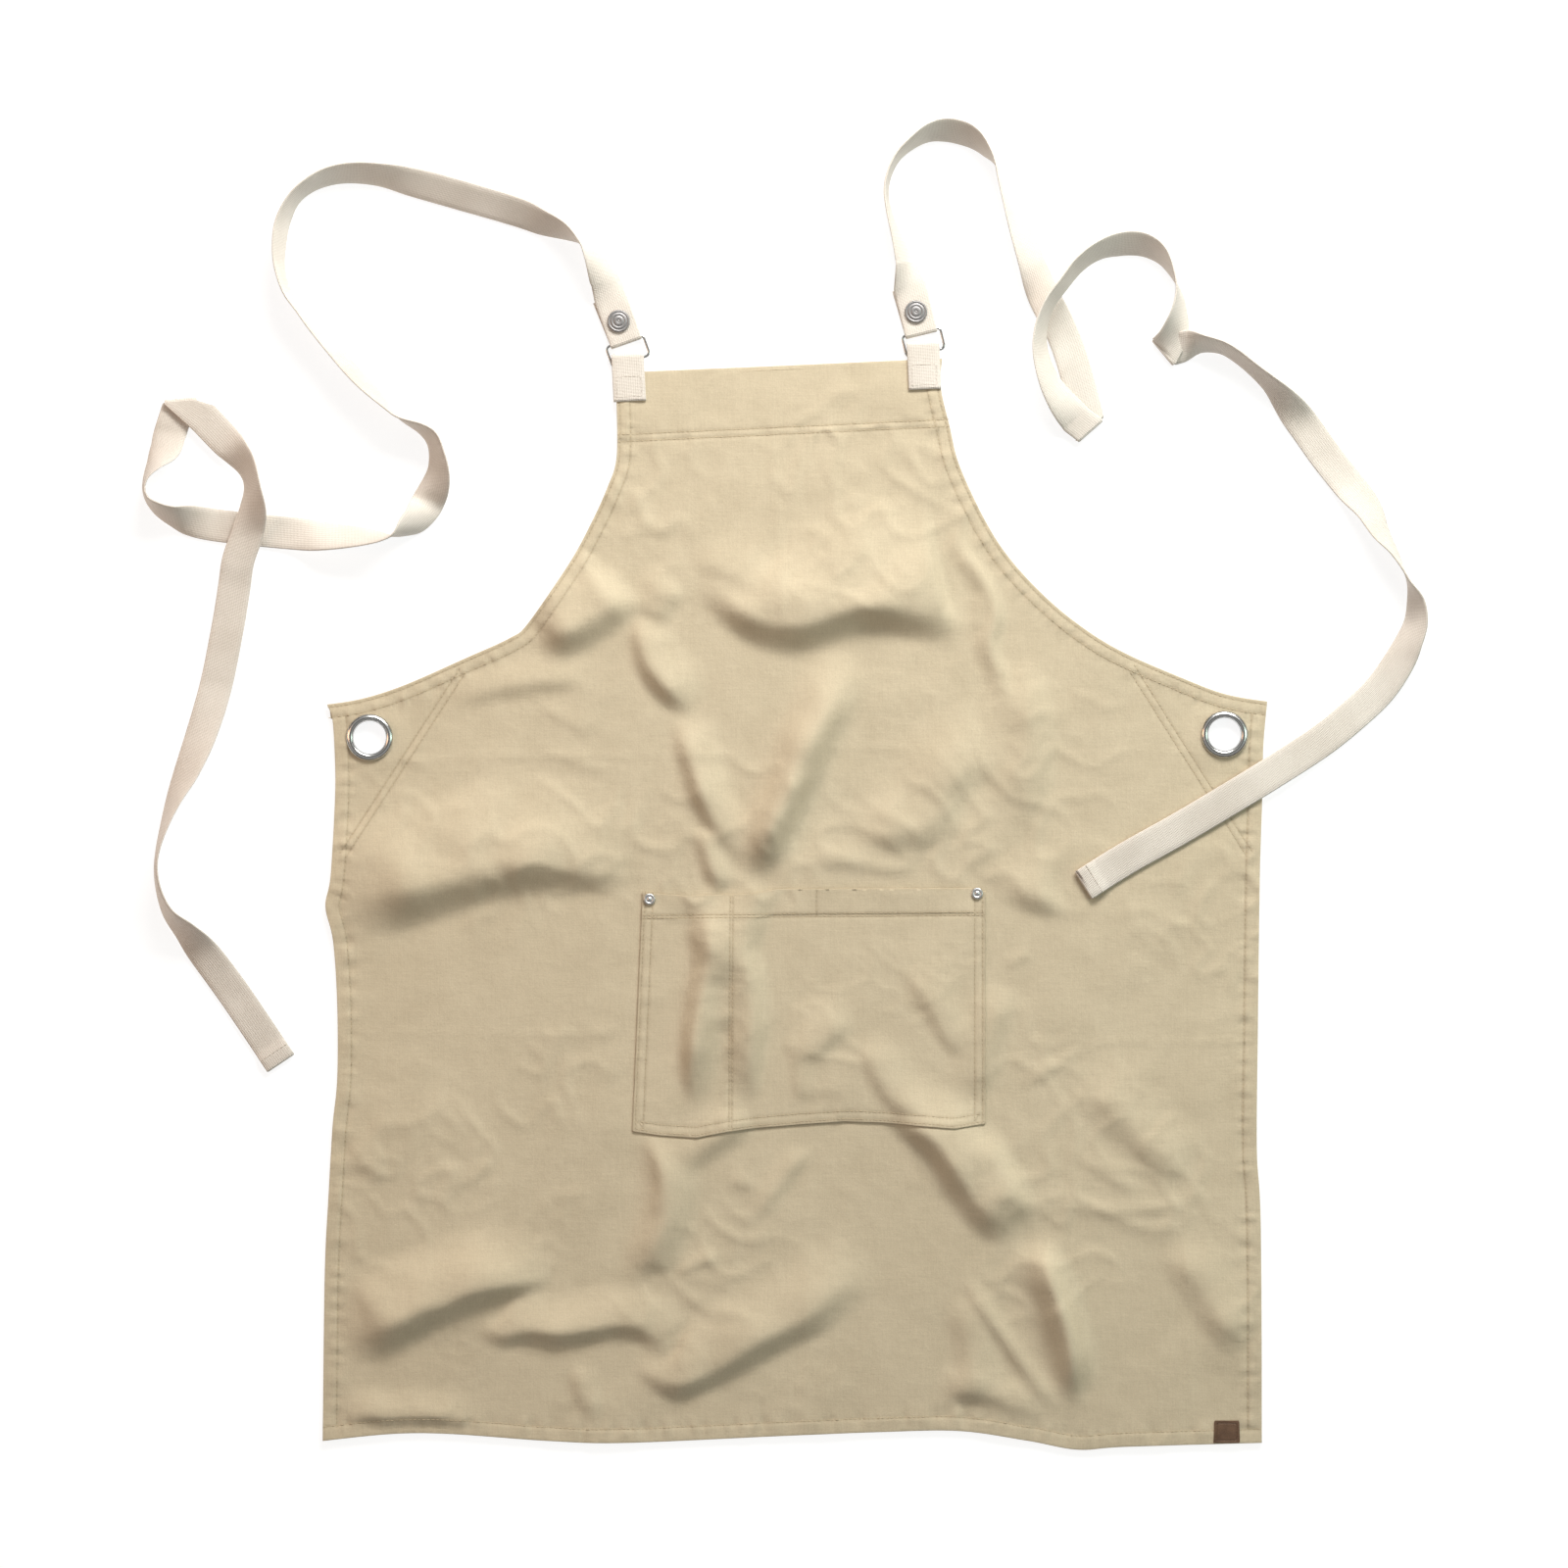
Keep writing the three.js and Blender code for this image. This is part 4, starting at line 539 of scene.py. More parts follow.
def even_line(line, pitch):
    along = distances(line)
    steps = max(1, math.ceil(along[-1] / pitch))
    at = np.linspace(0, along[-1], steps + 1)
    return np.stack([np.interp(at, along, line[:, k]) for k in range(line.shape[1])], 1)


def stretch_of(line, start, end, pitch=OUTLINE_PITCH):
    """The stretch of a line between two distances along it; an end below zero counts back."""
    along = distances(line)
    stop = end if end > 0 else along[-1] + end
    at = np.linspace(start, stop, max(2, math.ceil((stop - start) / pitch)))
    return np.stack([np.interp(at, along, line[:, k]) for k in range(2)], 1)


def offset_line(line, distance):
    """A line moved to its left."""
    ahead = np.vstack([line[1:], line[-1:]]) - np.vstack([line[:1], line[:-1]])
    ahead /= np.linalg.norm(ahead, axis=1)[:, None]
    return line + distance * np.stack([-ahead[:, 1], ahead[:, 0]], 1)


def outline_part(shares):
    return smooth_line([on_apron(p) for p in shares], OUTLINE_PITCH)


left_armhole = outline_part(LEFT_ARMHOLE)
right_armhole = outline_part(RIGHT_ARMHOLE)
left_side = outline_part(LEFT_SIDE)
right_side = outline_part(RIGHT_SIDE)
bottom = outline_part(BOTTOM)
bib_top = even_line(np.array([right_armhole[0], left_armhole[0]]), OUTLINE_PITCH)
right_side_up = right_side[::-1]
right_armhole_up = right_armhole[::-1]
outline = np.vstack([
    left_armhole, left_side[1:], bottom[1:], right_side_up[1:], right_armhole_up[1:], bib_top[1:-1],
])
pocket_corners = np.array([on_pocket(p) for p in POCKET_EDGE])
pocket_rim = np.vstack([pocket_corners, pocket_corners[:1]])
pocket_outline = even_line(pocket_rim, OUTLINE_PITCH)[:-1]
pocket_rim = np.vstack([pocket_outline, pocket_outline[:1]])

left_grommet = left_side[0] + [GROMMET_FROM_SIDE, -GROMMET_FROM_TOP]
right_grommet = right_side[0] - [GROMMET_FROM_SIDE, GROMMET_FROM_TOP]
label_corner = right_side[-1]
grommets = {"left": left_grommet, "right": right_grommet}

# Where the apron's plan lies in the frame, from the grommet that both have
_low, _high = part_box("grommet_left")
SHIFT = np.array([
    (_low.x + _high.x) * 500 - left_grommet[0], (_low.y + _high.y) * 500 - left_grommet[1], 0.0,
])


def place(points):
    """Millimetres on the apron to metres in the frame."""
    return (np.asarray(points, float) + SHIFT) * 0.001


# The height field of the cloth's folds

field_x = np.arange(-APRON_WIDTH / 2 - FIELD_MARGIN, APRON_WIDTH / 2 + FIELD_MARGIN, FIELD_PITCH)
field_y = np.arange(-FIELD_MARGIN, APRON_LENGTH + FIELD_MARGIN, FIELD_PITCH)
grid_x, grid_y = np.meshgrid(field_x, field_y)


def ramp(value, low, high):
    t = np.clip((value - low) / (high - low), 0, 1)
    return t * t * (3 - 2 * t)


def fade(t):
    return t * t * t * (t * (6 * t - 15) + 10)


def noise_field(x, y, scale, seed):
    """Smooth noise between about -1 and 1, with features of the given size."""
    generator = np.random.default_rng(seed)
    size = 64
    angles = generator.uniform(0, 2 * np.pi, (size, size))
    gx, gy = np.cos(angles), np.sin(angles)
    u, v = x / scale, y / scale
    i, j = np.floor(u).astype(int), np.floor(v).astype(int)
    fu, fv = u - i, v - j
    total = np.zeros_like(u)
    for di in (0, 1):
        for dj in (0, 1):
            a, b = (i + di) % size, (j + dj) % size
            weight = (fade(fu) if di else 1 - fade(fu)) * (fade(fv) if dj else 1 - fade(fv))
            total += weight * (gx[a, b] * (fu - di) + gy[a, b] * (fv - dj))
    return 1.6 * total


def nearest_on(line, x, y):
    """Each point's distance to a line, positive on its left, and how far along it lies."""
    best = np.full(x.shape, np.inf)
    signed, share = np.zeros(x.shape), np.zeros(x.shape)
    count = len(line) - 1
    for k in range(count):
        ax, ay = line[k]
        bx, by = line[k + 1] - line[k]
        px, py = x - ax, y - ay
        t = np.clip((px * bx + py * by) / (bx * bx + by * by), 0, 1)
        dx, dy = px - t * bx, py - t * by
        squared = dx * dx + dy * dy
        closer = squared < best
        side = np.where(bx * py - by * px >= 0, 1, -1)
        best = np.where(closer, squared, best)
        signed = np.where(closer, side * np.sqrt(squared), signed)
        share = np.where(closer, (k + t) / count, share)
    return signed, share


def add_to_field(field, line, reach, shape):
    """Adds shape(distance, share) to the field near a line."""
    low, high = line.min(0) - reach, line.max(0) + reach
    rows = slice(*np.searchsorted(field_y, [low[1], high[1]]))
    columns = slice(*np.searchsorted(field_x, [low[0], high[0]]))
    x, y = grid_x[rows, columns], grid_y[rows, columns]
    if x.size:
        field[rows, columns] += shape(*nearest_on(line, x, y))


def slope_shape(rise, first, last, reach):
    def shape(distance, share):
        half = FOLD_SPREAD * (first + (last - first) * share) / 2
        climb = ramp(distance, -half, half)
        sink = 1 - ramp(distance, 0.6 * half, half + reach)
        ends = ramp(share, 0, 0.3) * (1 - ramp(share, 0.7, 1))
        return FOLD_DEPTH * rise * climb * sink * ends
    return shape


def crease_shape(distance, share):
    ends = ramp(share, 0, 0.1) * (1 - ramp(share, 0.9, 1))
    return CREASE_HEIGHT * np.exp(-((distance / CREASE_SPREAD) ** 2)) * ends


def softened(field, passes):
    for _ in range(passes):
        for axis in (0, 1):
            field = (np.roll(field, 1, axis) + 2 * field + np.roll(field, -1, axis)) / 4
    return field


def build_field():
    """The photo's folds, made uneven, then swells, crumples and ripples, and creases pressed in."""
    field = np.zeros(grid_x.shape)
    for rise, first, last, reach, way in SLOPES:
        line = smooth_line(from_photo(way), SLOPE_STEP)
        shape = slope_shape(rise, first, last, reach)
        add_to_field(field, line, reach + max(first, last) + 2, shape)

    def noise(scale, seed):
        return noise_field(grid_x, grid_y, scale, seed)

    field *= 1 + FOLD_UNEVENNESS * noise(38, 10)
    field = softened(field, 2)
    field += SWELL * np.maximum(noise(95, 11) + 0.5 * noise(42, 12), -0.2)
    bent_x, bent_y = grid_x + WARP * noise(60, 13), grid_y + WARP * noise(60, 14)
    crumple = 1 - np.abs(noise_field(bent_x, bent_y, 34, 15)) * 2.2
    patchy = ramp(noise(130, 16), -0.1, 0.45)
    field += CRUMPLE * np.clip(crumple, 0, 1) ** 3 * patchy
    small = 1 - np.abs(noise_field(bent_x, bent_y, 17, 18)) * 2.4
    field += SMALL_CRUMPLE * np.clip(small, 0, 1) ** 2 * ramp(noise(75, 19), 0.0, 0.5)
    field += RIPPLE * noise_field(bent_x, bent_y, 13, 17) * (0.4 + patchy)
    field = softened(field, 1)
    for crease in CREASES:
        add_to_field(field, smooth_line(from_photo(crease), CREASE_STEP), CREASE_REACH, crease_shape)
    return field


# Lines of stitches in plan, with how far the cloth puckers along them

def pocket_line(start, end):
    return even_line(np.array([on_pocket(start), on_pocket(end)]), OUTLINE_PITCH)


def twin(line, gap, first, second):
    """Two rows of stitches, with how far each puckers."""
    return [(line, first), (offset_line(line, gap), second)]


def hem_lines():
    lines = []
    for band in (stretch_of(left_armhole, 0, -1), stretch_of(right_armhole_up, 1, -0.5)):
        lines.append((offset_line(band, EDGE_STITCH_IN), 0.2))
        lines.append((offset_line(band, ARMHOLE_BAND_WIDTH - 1), 0.5))
    for hem, pucker in ((stretch_of(left_side, ARMHOLE_BAND_WIDTH, -HEM_WIDTH), 0.6),
                        (stretch_of(right_side_up, HEM_WIDTH, -ARMHOLE_BAND_WIDTH), 0.6),
                        (stretch_of(bottom, 2, -2), 0.55)):
        lines.append((offset_line(hem, HEM_STITCH_IN), pucker))
    return lines


def facing_lines():
    left_end, right_end = (stretch_of(armhole, FACING_DEPTH - 3, FACING_DEPTH + 3)[0]
                           for armhole in (left_armhole, right_armhole))
    line = even_line(np.array([left_end + [1.5, 0], right_end - [1.5, 0]]), OUTLINE_PITCH)
    return twin(line, TWIN_STITCH, 0.2, 0.14)


def patch_lines():
    lines = []
    for armhole, side, turn in ((left_armhole, left_side, 1), (right_armhole, right_side, -1)):
        above = stretch_of(armhole, distances(armhole)[-1] - PATCH_ALONG_ARMHOLE, -1)[0]
        beside = stretch_of(side, 1, PATCH_ALONG_SIDE)[-1]
        line = even_line(np.array([above + [4 * turn, -9], beside + [11 * turn, 3]]), OUTLINE_PITCH)
        lines += twin(line, -turn * TWIN_STITCH, 0.1, 0.08)
    return lines


def pocket_lines():
    corner = int(np.argmin(np.linalg.norm(pocket_outline - on_pocket((0.499, 1.0)), axis=1)))
    around = pocket_rim[:corner + 1]
    below_hem = POCKET_HEM / POCKET_HEIGHT
    hem = pocket_line((-0.478, 0.9825 - below_hem), (0.49, 0.995 - below_hem))
    divider = pocket_line((DIVIDER, 0.965), (DIVIDER - 0.004, -0.01))
    bar = pocket_line((0.015, 0.99), (0.015, 0.995 - below_hem))
    return [
        (offset_line(around, EDGE_STITCH_IN), 0.14),
        (offset_line(around, EDGE_STITCH_IN + TWIN_STITCH + 0.6), 0.12),
        *twin(hem, CLOSE_STITCH, 0.12, 0.1),
        *twin(divider, CLOSE_STITCH, 0.16, 0.1),
        (bar, 0.06),
    ]


panel_stitch_lines = hem_lines() + facing_lines() + patch_lines()
pocket_stitch_lines = pocket_lines()


def seam_shape(pucker, seed, length):
    draws = np.random.default_rng(seed).normal(0, 1, int(length / PUCKER_PITCH) + 4)
    waves = np.clip(draws, -1.1, 1.5)
    depth = min(DEEPEST_GROOVE, 0.08 + 1.2 * pucker)

    def shape(distance, share):
        wave = np.interp(share * (len(waves) - 1), np.arange(len(waves)), waves)
        groove = -depth * np.exp(-((distance / GROOVE_SPREAD) ** 2))
        return groove + pucker * wave * np.exp(-((distance / PUCKER_SPREAD) ** 2))
    return shape


def add_hems(field):
    """The cloth stands a little higher over its hems."""
    bands = np.zeros(field.shape)
    for line, width in ((left_armhole, ARMHOLE_BAND_WIDTH), (right_armhole_up, ARMHOLE_BAND_WIDTH),
                        (left_side, HEM_WIDTH), (right_side_up, HEM_WIDTH), (bottom, HEM_WIDTH)):
        def shape(distance, share):
            return (1 - ramp(distance, width - 0.8, width + 1.2)) * (distance > -6)

        band = np.zeros(field.shape)
        add_to_field(band, even_line(line, SEAM_STEP), 20, shape)
        bands = np.maximum(bands, band)
    field += HEM_RISE * bands


def add_seams(field):
    for number, (line, pucker) in enumerate(panel_stitch_lines + pocket_stitch_lines):
        shape = seam_shape(pucker, 100 + number, distances(line)[-1])
        add_to_field(field, even_line(line, SEAM_STEP), 16, shape)


def hold_round(field, at, flat, free, level):
    """Holds the cloth at a level as far as flat round a place, and frees it beyond free."""
    near = 1 - ramp(np.hypot(grid_x - at[0], grid_y - at[1]), flat, free)
    return field + (level - field) * near


def held_flat(field):
    """Settles the cloth over washers and tabs, round the rivets, under the label and under a strap."""
    field = np.maximum(field, 0.0) + DIP_SHARE * np.minimum(field, 0.0)
    for at in grommets.values():
        field = hold_round(field, at, GROMMET_DIAMETER / 2 + 1, GROMMET_DIAMETER / 2 + 16, WASHER_SEAT)
    for fitting in FITTINGS.values():
        at = on_apron(fitting["tab_fold"])
        field = hold_round(field, at, TAB_LENGTH + 6, TAB_LENGTH + 40, TAB_SEAT)
    for share in POCKET_RIVETS.values():
        at = on_pocket(share)
        field = hold_round(field, at, RIVET_DIAMETER / 2 + 1, RIVET_DIAMETER / 2 + 12, 0)
    field = hold_round(field, label_corner - [LABEL_FROM_SIDE, 0], 22, 44, 0)
    distance, _ = nearest_on(from_photo(STRAP_ON_CLOTH), grid_x, grid_y)
    under = 1 - ramp(np.abs(distance), WEBBING_WIDTH / 2 + 3, WEBBING_WIDTH / 2 + 22)
    return field + (np.minimum(field, UNDER_STRAP) - field) * under


cloth_field = build_field()
cloth_field = held_flat(cloth_field)
add_hems(cloth_field)
add_seams(cloth_field)
cloth_field = np.maximum(cloth_field, LOWEST_DIP)


def height_at(x, y):
    """Height of the folds at points in plan."""
    u = np.clip((np.asarray(x) - field_x[0]) / FIELD_PITCH, 0, len(field_x) - 1.001)
    v = np.clip((np.asarray(y) - field_y[0]) / FIELD_PITCH, 0, len(field_y) - 1.001)
    i, j = u.astype(int), v.astype(int)
    fu, fv = u - i, v - j
    low = cloth_field[j, i] * (1 - fu) + cloth_field[j, i + 1] * fu
    high = cloth_field[j + 1, i] * (1 - fu) + cloth_field[j + 1, i + 1] * fu
    return low * (1 - fv) + high * fv


# Meshes

def stand(name, data):
    """A new object in the scene."""
    thing = bpy.data.objects.new(name, data)
    bpy.context.collection.objects.link(thing)
    return thing


def make_piece(name, points, faces, material, node, slot, smooth=True):
    """A finished piece from millimetre points on the apron, riding on the part's one body."""
    mesh = bpy.data.meshes.new(name)
    mesh.from_pydata(place(points).tolist(), [], faces)
    mesh.validate()
    mesh.update()
    if smooth:
        mesh.shade_smooth()
    piece = stand(name, mesh)
    mesh.materials.append(material)
    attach(piece, "root")
    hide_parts(node)
    return piece


def inside(points, loop):
    x, y = points[:, 0], points[:, 1]
    crossed = np.zeros(len(points), bool)
    for (ax, ay), (bx, by) in zip(loop, np.roll(loop, -1, axis=0)):
        if ay == by:
            continue
        between = (ay > y) != (by > y)
        crossed ^= between & (x < (bx - ax) * (y - ay) / (by - ay) + ax)
    return crossed


def lattice(loop, pitch):
    low, high = loop.min(0), loop.max(0)
    rows = np.arange(low[1], high[1], pitch * ROW_STEP)
    points = []
    for k, y in enumerate(rows):
        xs = np.arange(low[0] + (k % 2) * pitch / 2, high[0], pitch)
        points.append(np.stack([xs, np.full(len(xs), y)], 1))
    return np.vstack(points)


def tree_of(points):
    tree = KDTree(len(points))
    for k, (x, y) in enumerate(points):
        tree.insert((x, y, 0), k)
    tree.balance()
    return tree


def gap_to(tree, points):
    return np.array([tree.find((x, y, 0))[2] for x, y in points])


def area_of(loop):
    x, y = loop[:, 0], loop[:, 1]
    return 0.5 * abs(np.dot(x, np.roll(y, -1)) - np.dot(y, np.roll(x, -1)))


def plan_points(loop, holes, seams, pitch):
    """Points of a sheet in plan: a coarse lattice, a finer one near the edge, and rows by the seams."""
    rim_tree = tree_of(np.vstack([loop] + holes))
    coarse, fine = lattice(loop, pitch), lattice(loop, EDGE_PITCH)
    coarse, fine = coarse[inside(coarse, loop)], fine[inside(fine, loop)]
    gaps, fine_gaps = gap_to(rim_tree, coarse), gap_to(rim_tree, fine)
    near_edge = fine[(fine_gaps <= EDGE_BAND) & (fine_gaps > RIM_CLEAR)]
    picked = np.vstack([coarse[gaps > EDGE_BAND], near_edge])
    for hole in holes:
        picked = picked[~inside(picked, hole)]
    if not seams:
        return picked
    rows = np.vstack([even_line(offset_line(line, d), 2.6) for line in seams for d in SEAM_ROWS])
    rows = rows[inside(rows, loop)]
    rows = rows[gap_to(rim_tree, rows) > 0.9]
    kept = picked[gap_to(tree_of(rows), picked) > 1.5]
    return np.vstack([kept, rows])


def upward_faces(flat, faces, loop, holes):
    """The triangles that lie in a sheet, each turned to face up."""
    middle = flat[faces].mean(1)
    keep = inside(middle, loop)
    for hole in holes:
        keep &= ~inside(middle, hole)
    faces = faces[keep]
    a, b, c = flat[faces[:, 0]], flat[faces[:, 1]], flat[faces[:, 2]]
    turn = (b[:, 0] - a[:, 0]) * (c[:, 1] - a[:, 1]) - (b[:, 1] - a[:, 1]) * (c[:, 0] - a[:, 0])
    return np.where((turn < 0)[:, None], faces[:, ::-1], faces)


def sheet_mesh(loop, low, high, holes=(), seams=(), pitch=CLOTH_PITCH, lip=0.0, extra=None):
    """A sheet of cloth between two levels over the folds; its rounded edge turns down by lip."""
    holes = list(holes)
    inner = offset_line_closed(loop, EDGE_ROUND)
    points = np.vstack([inner] + holes + [plan_points(inner, holes, seams, pitch)])
    edges, start = [], 0
    for ring in [inner] + holes:
        count = len(ring)
        edges += [(start + k, start + (k + 1) % count) for k in range(count)]
        start += count
    result = geometry.delaunay_2d_cdt([Vector(p) for p in points.tolist()], edges, [], 0, 1e-5)
    flat = np.array([(v.x, v.y) for v in result[0]])
    faces = upward_faces(flat, np.array(result[2]), inner, holes)
    field = height_at(flat[:, 0], flat[:, 1])
    if extra is not None:
        field = field + extra(flat[:, 0], flat[:, 1])
    count = len(flat)
    all_points = [np.column_stack([flat, field + high]), np.column_stack([flat, field + low])]
    all_faces = faces.tolist() + (faces[:, ::-1] + count).tolist()
    foot = low - lip
    rounding = [(0.33, high - 0.1), (EDGE_ROUND, high - EDGE_ROUND),
                (EDGE_ROUND, foot + 0.35), (0.33, foot + 0.05)]
    if lip:
        rounding.append((0.0, foot))
    total = 2 * count
    for ring in boundary_loops(faces):
        outer = np.linalg.norm(flat[ring[0]] - inner, axis=1).min() < 1e-3
        previous = ring
        for reach, level in rounding if outer else ():
            moved = offset_line_closed(flat[ring], reach, outwards=True)
            all_points.append(np.column_stack([moved, field[ring] + level]))
            current = list(range(total, total + len(ring)))
            total += len(ring)
            all_faces += bridge(previous, current)
            previous = current
        all_faces += bridge(previous, [k + count for k in ring])
    points = np.vstack(all_points)
    points[:, 2] = np.maximum(points[:, 2], 0)
    return points, all_faces


def bridge(first, second):
    """Faces from one closed ring of a rim to the next, with the solid on their inner side."""
    count = len(first)
    return [(first[(k + 1) % count], first[k], second[k], second[(k + 1) % count]) for k in range(count)]


def tube_faces(rows, count, closed=False):
    """Faces between rows of points, each of which is a ring."""
    faces = []
    for row in range(rows if closed else rows - 1):
        here, there = row * count, (row + 1) % rows * count
        faces += [(here + k, here + (k + 1) % count, there + (k + 1) % count, there + k)
                  for k in range(count)]
    return faces


def boundary_loops(faces):
    """The rims of a triangulated sheet, each in the direction of its faces."""
    seen = set()
    for a, b, c in faces.tolist():
        seen.update(((a, b), (b, c), (c, a)))
    following = {a: b for a, b in seen if (b, a) not in seen}
    loops = []
    while following:
        start, here = following.popitem()
        loop = [start]
        while here != start:
            loop.append(here)
            here = following.pop(here)
        loops.append(loop)
    return loops


def offset_line_closed(loop, distance, outwards=False):
    """A closed line moved inwards, or outwards from a rim that runs anticlockwise."""
    ahead = np.roll(loop, -1, axis=0) - np.roll(loop, 1, axis=0)
    ahead /= np.linalg.norm(ahead, axis=1)[:, None]
    left = np.stack([-ahead[:, 1], ahead[:, 0]], 1)
    return loop + (-distance if outwards else distance) * left


def disc(centre, radius, sides=48):
    angles = np.linspace(0, 2 * np.pi, sides, endpoint=False)
    return centre + radius * np.stack([np.cos(angles), np.sin(angles)], 1)


def turned(profile, centre, sides=64):
    """A round piece from its profile of radius and height, which starts and ends on its axis or closes."""
    closed = profile[0] == profile[-1]
    profile = profile[:-1] if closed else profile
    points, rings = [], []
    for radius, level in profile:
        if radius == 0:
            rings.append([len(points)] * sides)
            points.append((centre[0], centre[1], level))
            continue
        rings.append(list(range(len(points), len(points) + sides)))
        for x, y in disc(centre, radius, sides):
            points.append((x, y, level))
    faces = []
    pairs = list(zip(rings, rings[1:])) + ([(rings[-1], rings[0])] if closed else [])
    for lower, upper in pairs:
        for k in range(sides):
            n = (k + 1) % sides
            face = []
            for index in (lower[k], lower[n], upper[n], upper[k]):
                if index not in face:
                    face.append(index)
            if len(face) > 2:
                faces.append(face)
    return np.array(points), faces


# Materials: shader maths written as Python expressions on sockets


class Socket:
    """A node's output that takes part in sums and products."""

    def __init__(self, tree, output):
        self.tree, self.output = tree, output

    def maths(self, operation, *others):
        values = {0: self, **dict(enumerate(others, 1))}
        return self.tree.add("ShaderNodeMath", {"operation": operation}, values)

    def __add__(self, other):
        return self.maths("ADD", other)

    def __sub__(self, other):
        return self.maths("SUBTRACT", other)

    def __mul__(self, other):
        return self.maths("MULTIPLY", other)

    def eased(self, low, high):
        """From 0 at the low value to 1 at the high one."""
        values = {"Value": self, "From Min": low, "From Max": high}
        return self.tree.add("ShaderNodeMapRange", {"interpolation_type": "SMOOTHSTEP"}, values)

    __radd__ = __add__
    __rmul__ = __mul__


class Material:
    """A material of procedural nodes."""

    def __init__(self, name):
        self.material = bpy.data.materials.new(name)
        self.material.use_nodes = True
        self.nodes = self.material.node_tree.nodes
        self.links = self.material.node_tree.links
        self.shader = self.nodes["Principled BSDF"]

    def add(self, kind, settings, inputs, output=0):
        node = self.nodes.new(kind)
        for key, value in settings.items():
            setattr(node, key, value)
        self.feed(node, inputs)
        return Socket(self, node.outputs[output])

    def feed(self, node, inputs):
        for key, value in inputs.items():
            if isinstance(value, Socket):
                self.links.new(value.output, node.inputs[key])
            else:
                node.inputs[key].default_value = value

    def coordinates(self, scale=(1, 1, 1), kind="Object", turn=0.0):
        place_in = self.add("ShaderNodeTexCoord", {}, {}, kind)
        values = {"Vector": place_in, "Scale": scale, "Rotation": (0, 0, turn)}
        return self.add("ShaderNodeMapping", {}, values, "Vector")

    def noise(self, where, scale, detail=2.0, roughness=0.5):
        values = {"Vector": where, "Scale": scale, "Detail": detail, "Roughness": roughness}
        return self.add("ShaderNodeTexNoise", {}, values, 0)

    def mix(self, share, first, second):
        node = self.nodes.new("ShaderNodeMix")
        node.data_type = "RGBA"
        self.feed(node, {0: share, 6: first, 7: second})
        return Socket(self, node.outputs[2])

    def bump(self, height, strength, distance, normal=None):
        values = {"Height": height, "Strength": strength, "Distance": distance}
        if normal:
            values["Normal"] = normal
        return self.add("ShaderNodeBump", {}, values, "Normal")

    def surface(self, **values):
        self.feed(self.shader, {key.replace("_", " "): value for key, value in values.items()})
        return self.material


def rgb(colour):
    return (*colour, 1.0)


def twill_material():
    m = Material("twill")
    across = m.noise(m.coordinates((1, 0.22, 0.2)), 2600, 2)
    down = m.noise(m.coordinates((0.22, 1, 0.2)), 2600, 2)
    slub_x = m.noise(m.coordinates((1, 0.06, 0.1)), 1100, 2)
    slub_y = m.noise(m.coordinates((0.06, 1, 0.1)), 1100, 2)
    broad = m.noise(m.coordinates(), 11, 3)
    worn = m.noise(m.coordinates(), 42, 4, 0.6)
    rib = m.add("ShaderNodeTexWave", {"bands_direction": "X"}, {
        "Vector": m.coordinates(turn=0.9), "Scale": 420, "Distortion": 1.4, "Detail": 2, "Detail Scale": 2,
    }, "Fac")
    weave = across * 0.5 + down * 0.5
    slubs = slub_x * 0.5 + slub_y * 0.5
    shade = (weave * 0.4 + slubs * 0.26 + broad * 0.16 + worn * 0.18).eased(0.3, 0.7)
    colour = m.mix(shade, rgb(TWILL_DARK), rgb(TWILL_LIGHT))
    # Painted shadow: a point attribute darkens the base colour near the seams and round the pocket's rim
    seam = m.add("ShaderNodeAttribute", {"attribute_name": "seam"}, {}, "Fac")
    colour = m.mix(seam * SEAM_SHADOW_STRENGTH, colour, rgb(SEAM_PAINTED_SHADOW))
    height = weave * 0.5 + slubs * 0.35 + rib * 0.25
    normal = m.bump(height, 0.42, 0.0006)
    rumpled = m.noise(m.coordinates(), 120, 5, 0.62)
    normal = m.bump(worn * 0.6 + rumpled * 0.4, 0.2, 0.004, normal)
    return m.surface(Base_Color=colour, Roughness=0.88, Specular_IOR_Level=0.22, Sheen_Weight=0.12,
                     Sheen_Roughness=0.6, Normal=normal)


def webbing_material():
    m = Material("webbing")
    at = m.coordinates(kind="UV")
    ribs = m.add("ShaderNodeTexWave", {"bands_direction": "Y"}, {
        "Vector": at, "Scale": 300, "Distortion": 0.5, "Detail": 1, "Detail Scale": 3,
    }, "Fac")
    cords = m.add("ShaderNodeTexWave", {"bands_direction": "X"}, {
        "Vector": at, "Scale": 190, "Distortion": 0.4, "Detail": 1, "Detail Scale": 3,
    }, "Fac")
    grain = m.noise(m.coordinates(), 1500, 2)
    soft = m.noise(m.coordinates(), 24, 3)
    shade = (grain * 0.34 + soft * 0.4 + ribs * 0.16 + cords * 0.1).eased(0.3, 0.66)
    colour = m.mix(shade, rgb(WEBBING_DARK), rgb(WEBBING_LIGHT))
    normal = m.bump(ribs * 0.5 + cords * 0.35 + grain * 0.5, 0.4, 0.0006)
    return m.surface(Base_Color=colour, Roughness=0.8, Specular_IOR_Level=0.25, Sheen_Weight=0.15,
                     Normal=normal)


def metal_material(name, colour, roughness, grain):
    m = Material(name)
    fine = m.noise(m.coordinates(), 900, 2)
    cloudy = m.noise(m.coordinates(), 160, 3)
    rough = (fine * 0.5 + cloudy * 0.5) * grain + (roughness - grain / 2)
    normal = m.bump(fine, 0.08, 0.0003)
    return m.surface(Base_Color=rgb(colour), Metallic=1.0, Roughness=rough, Normal=normal)


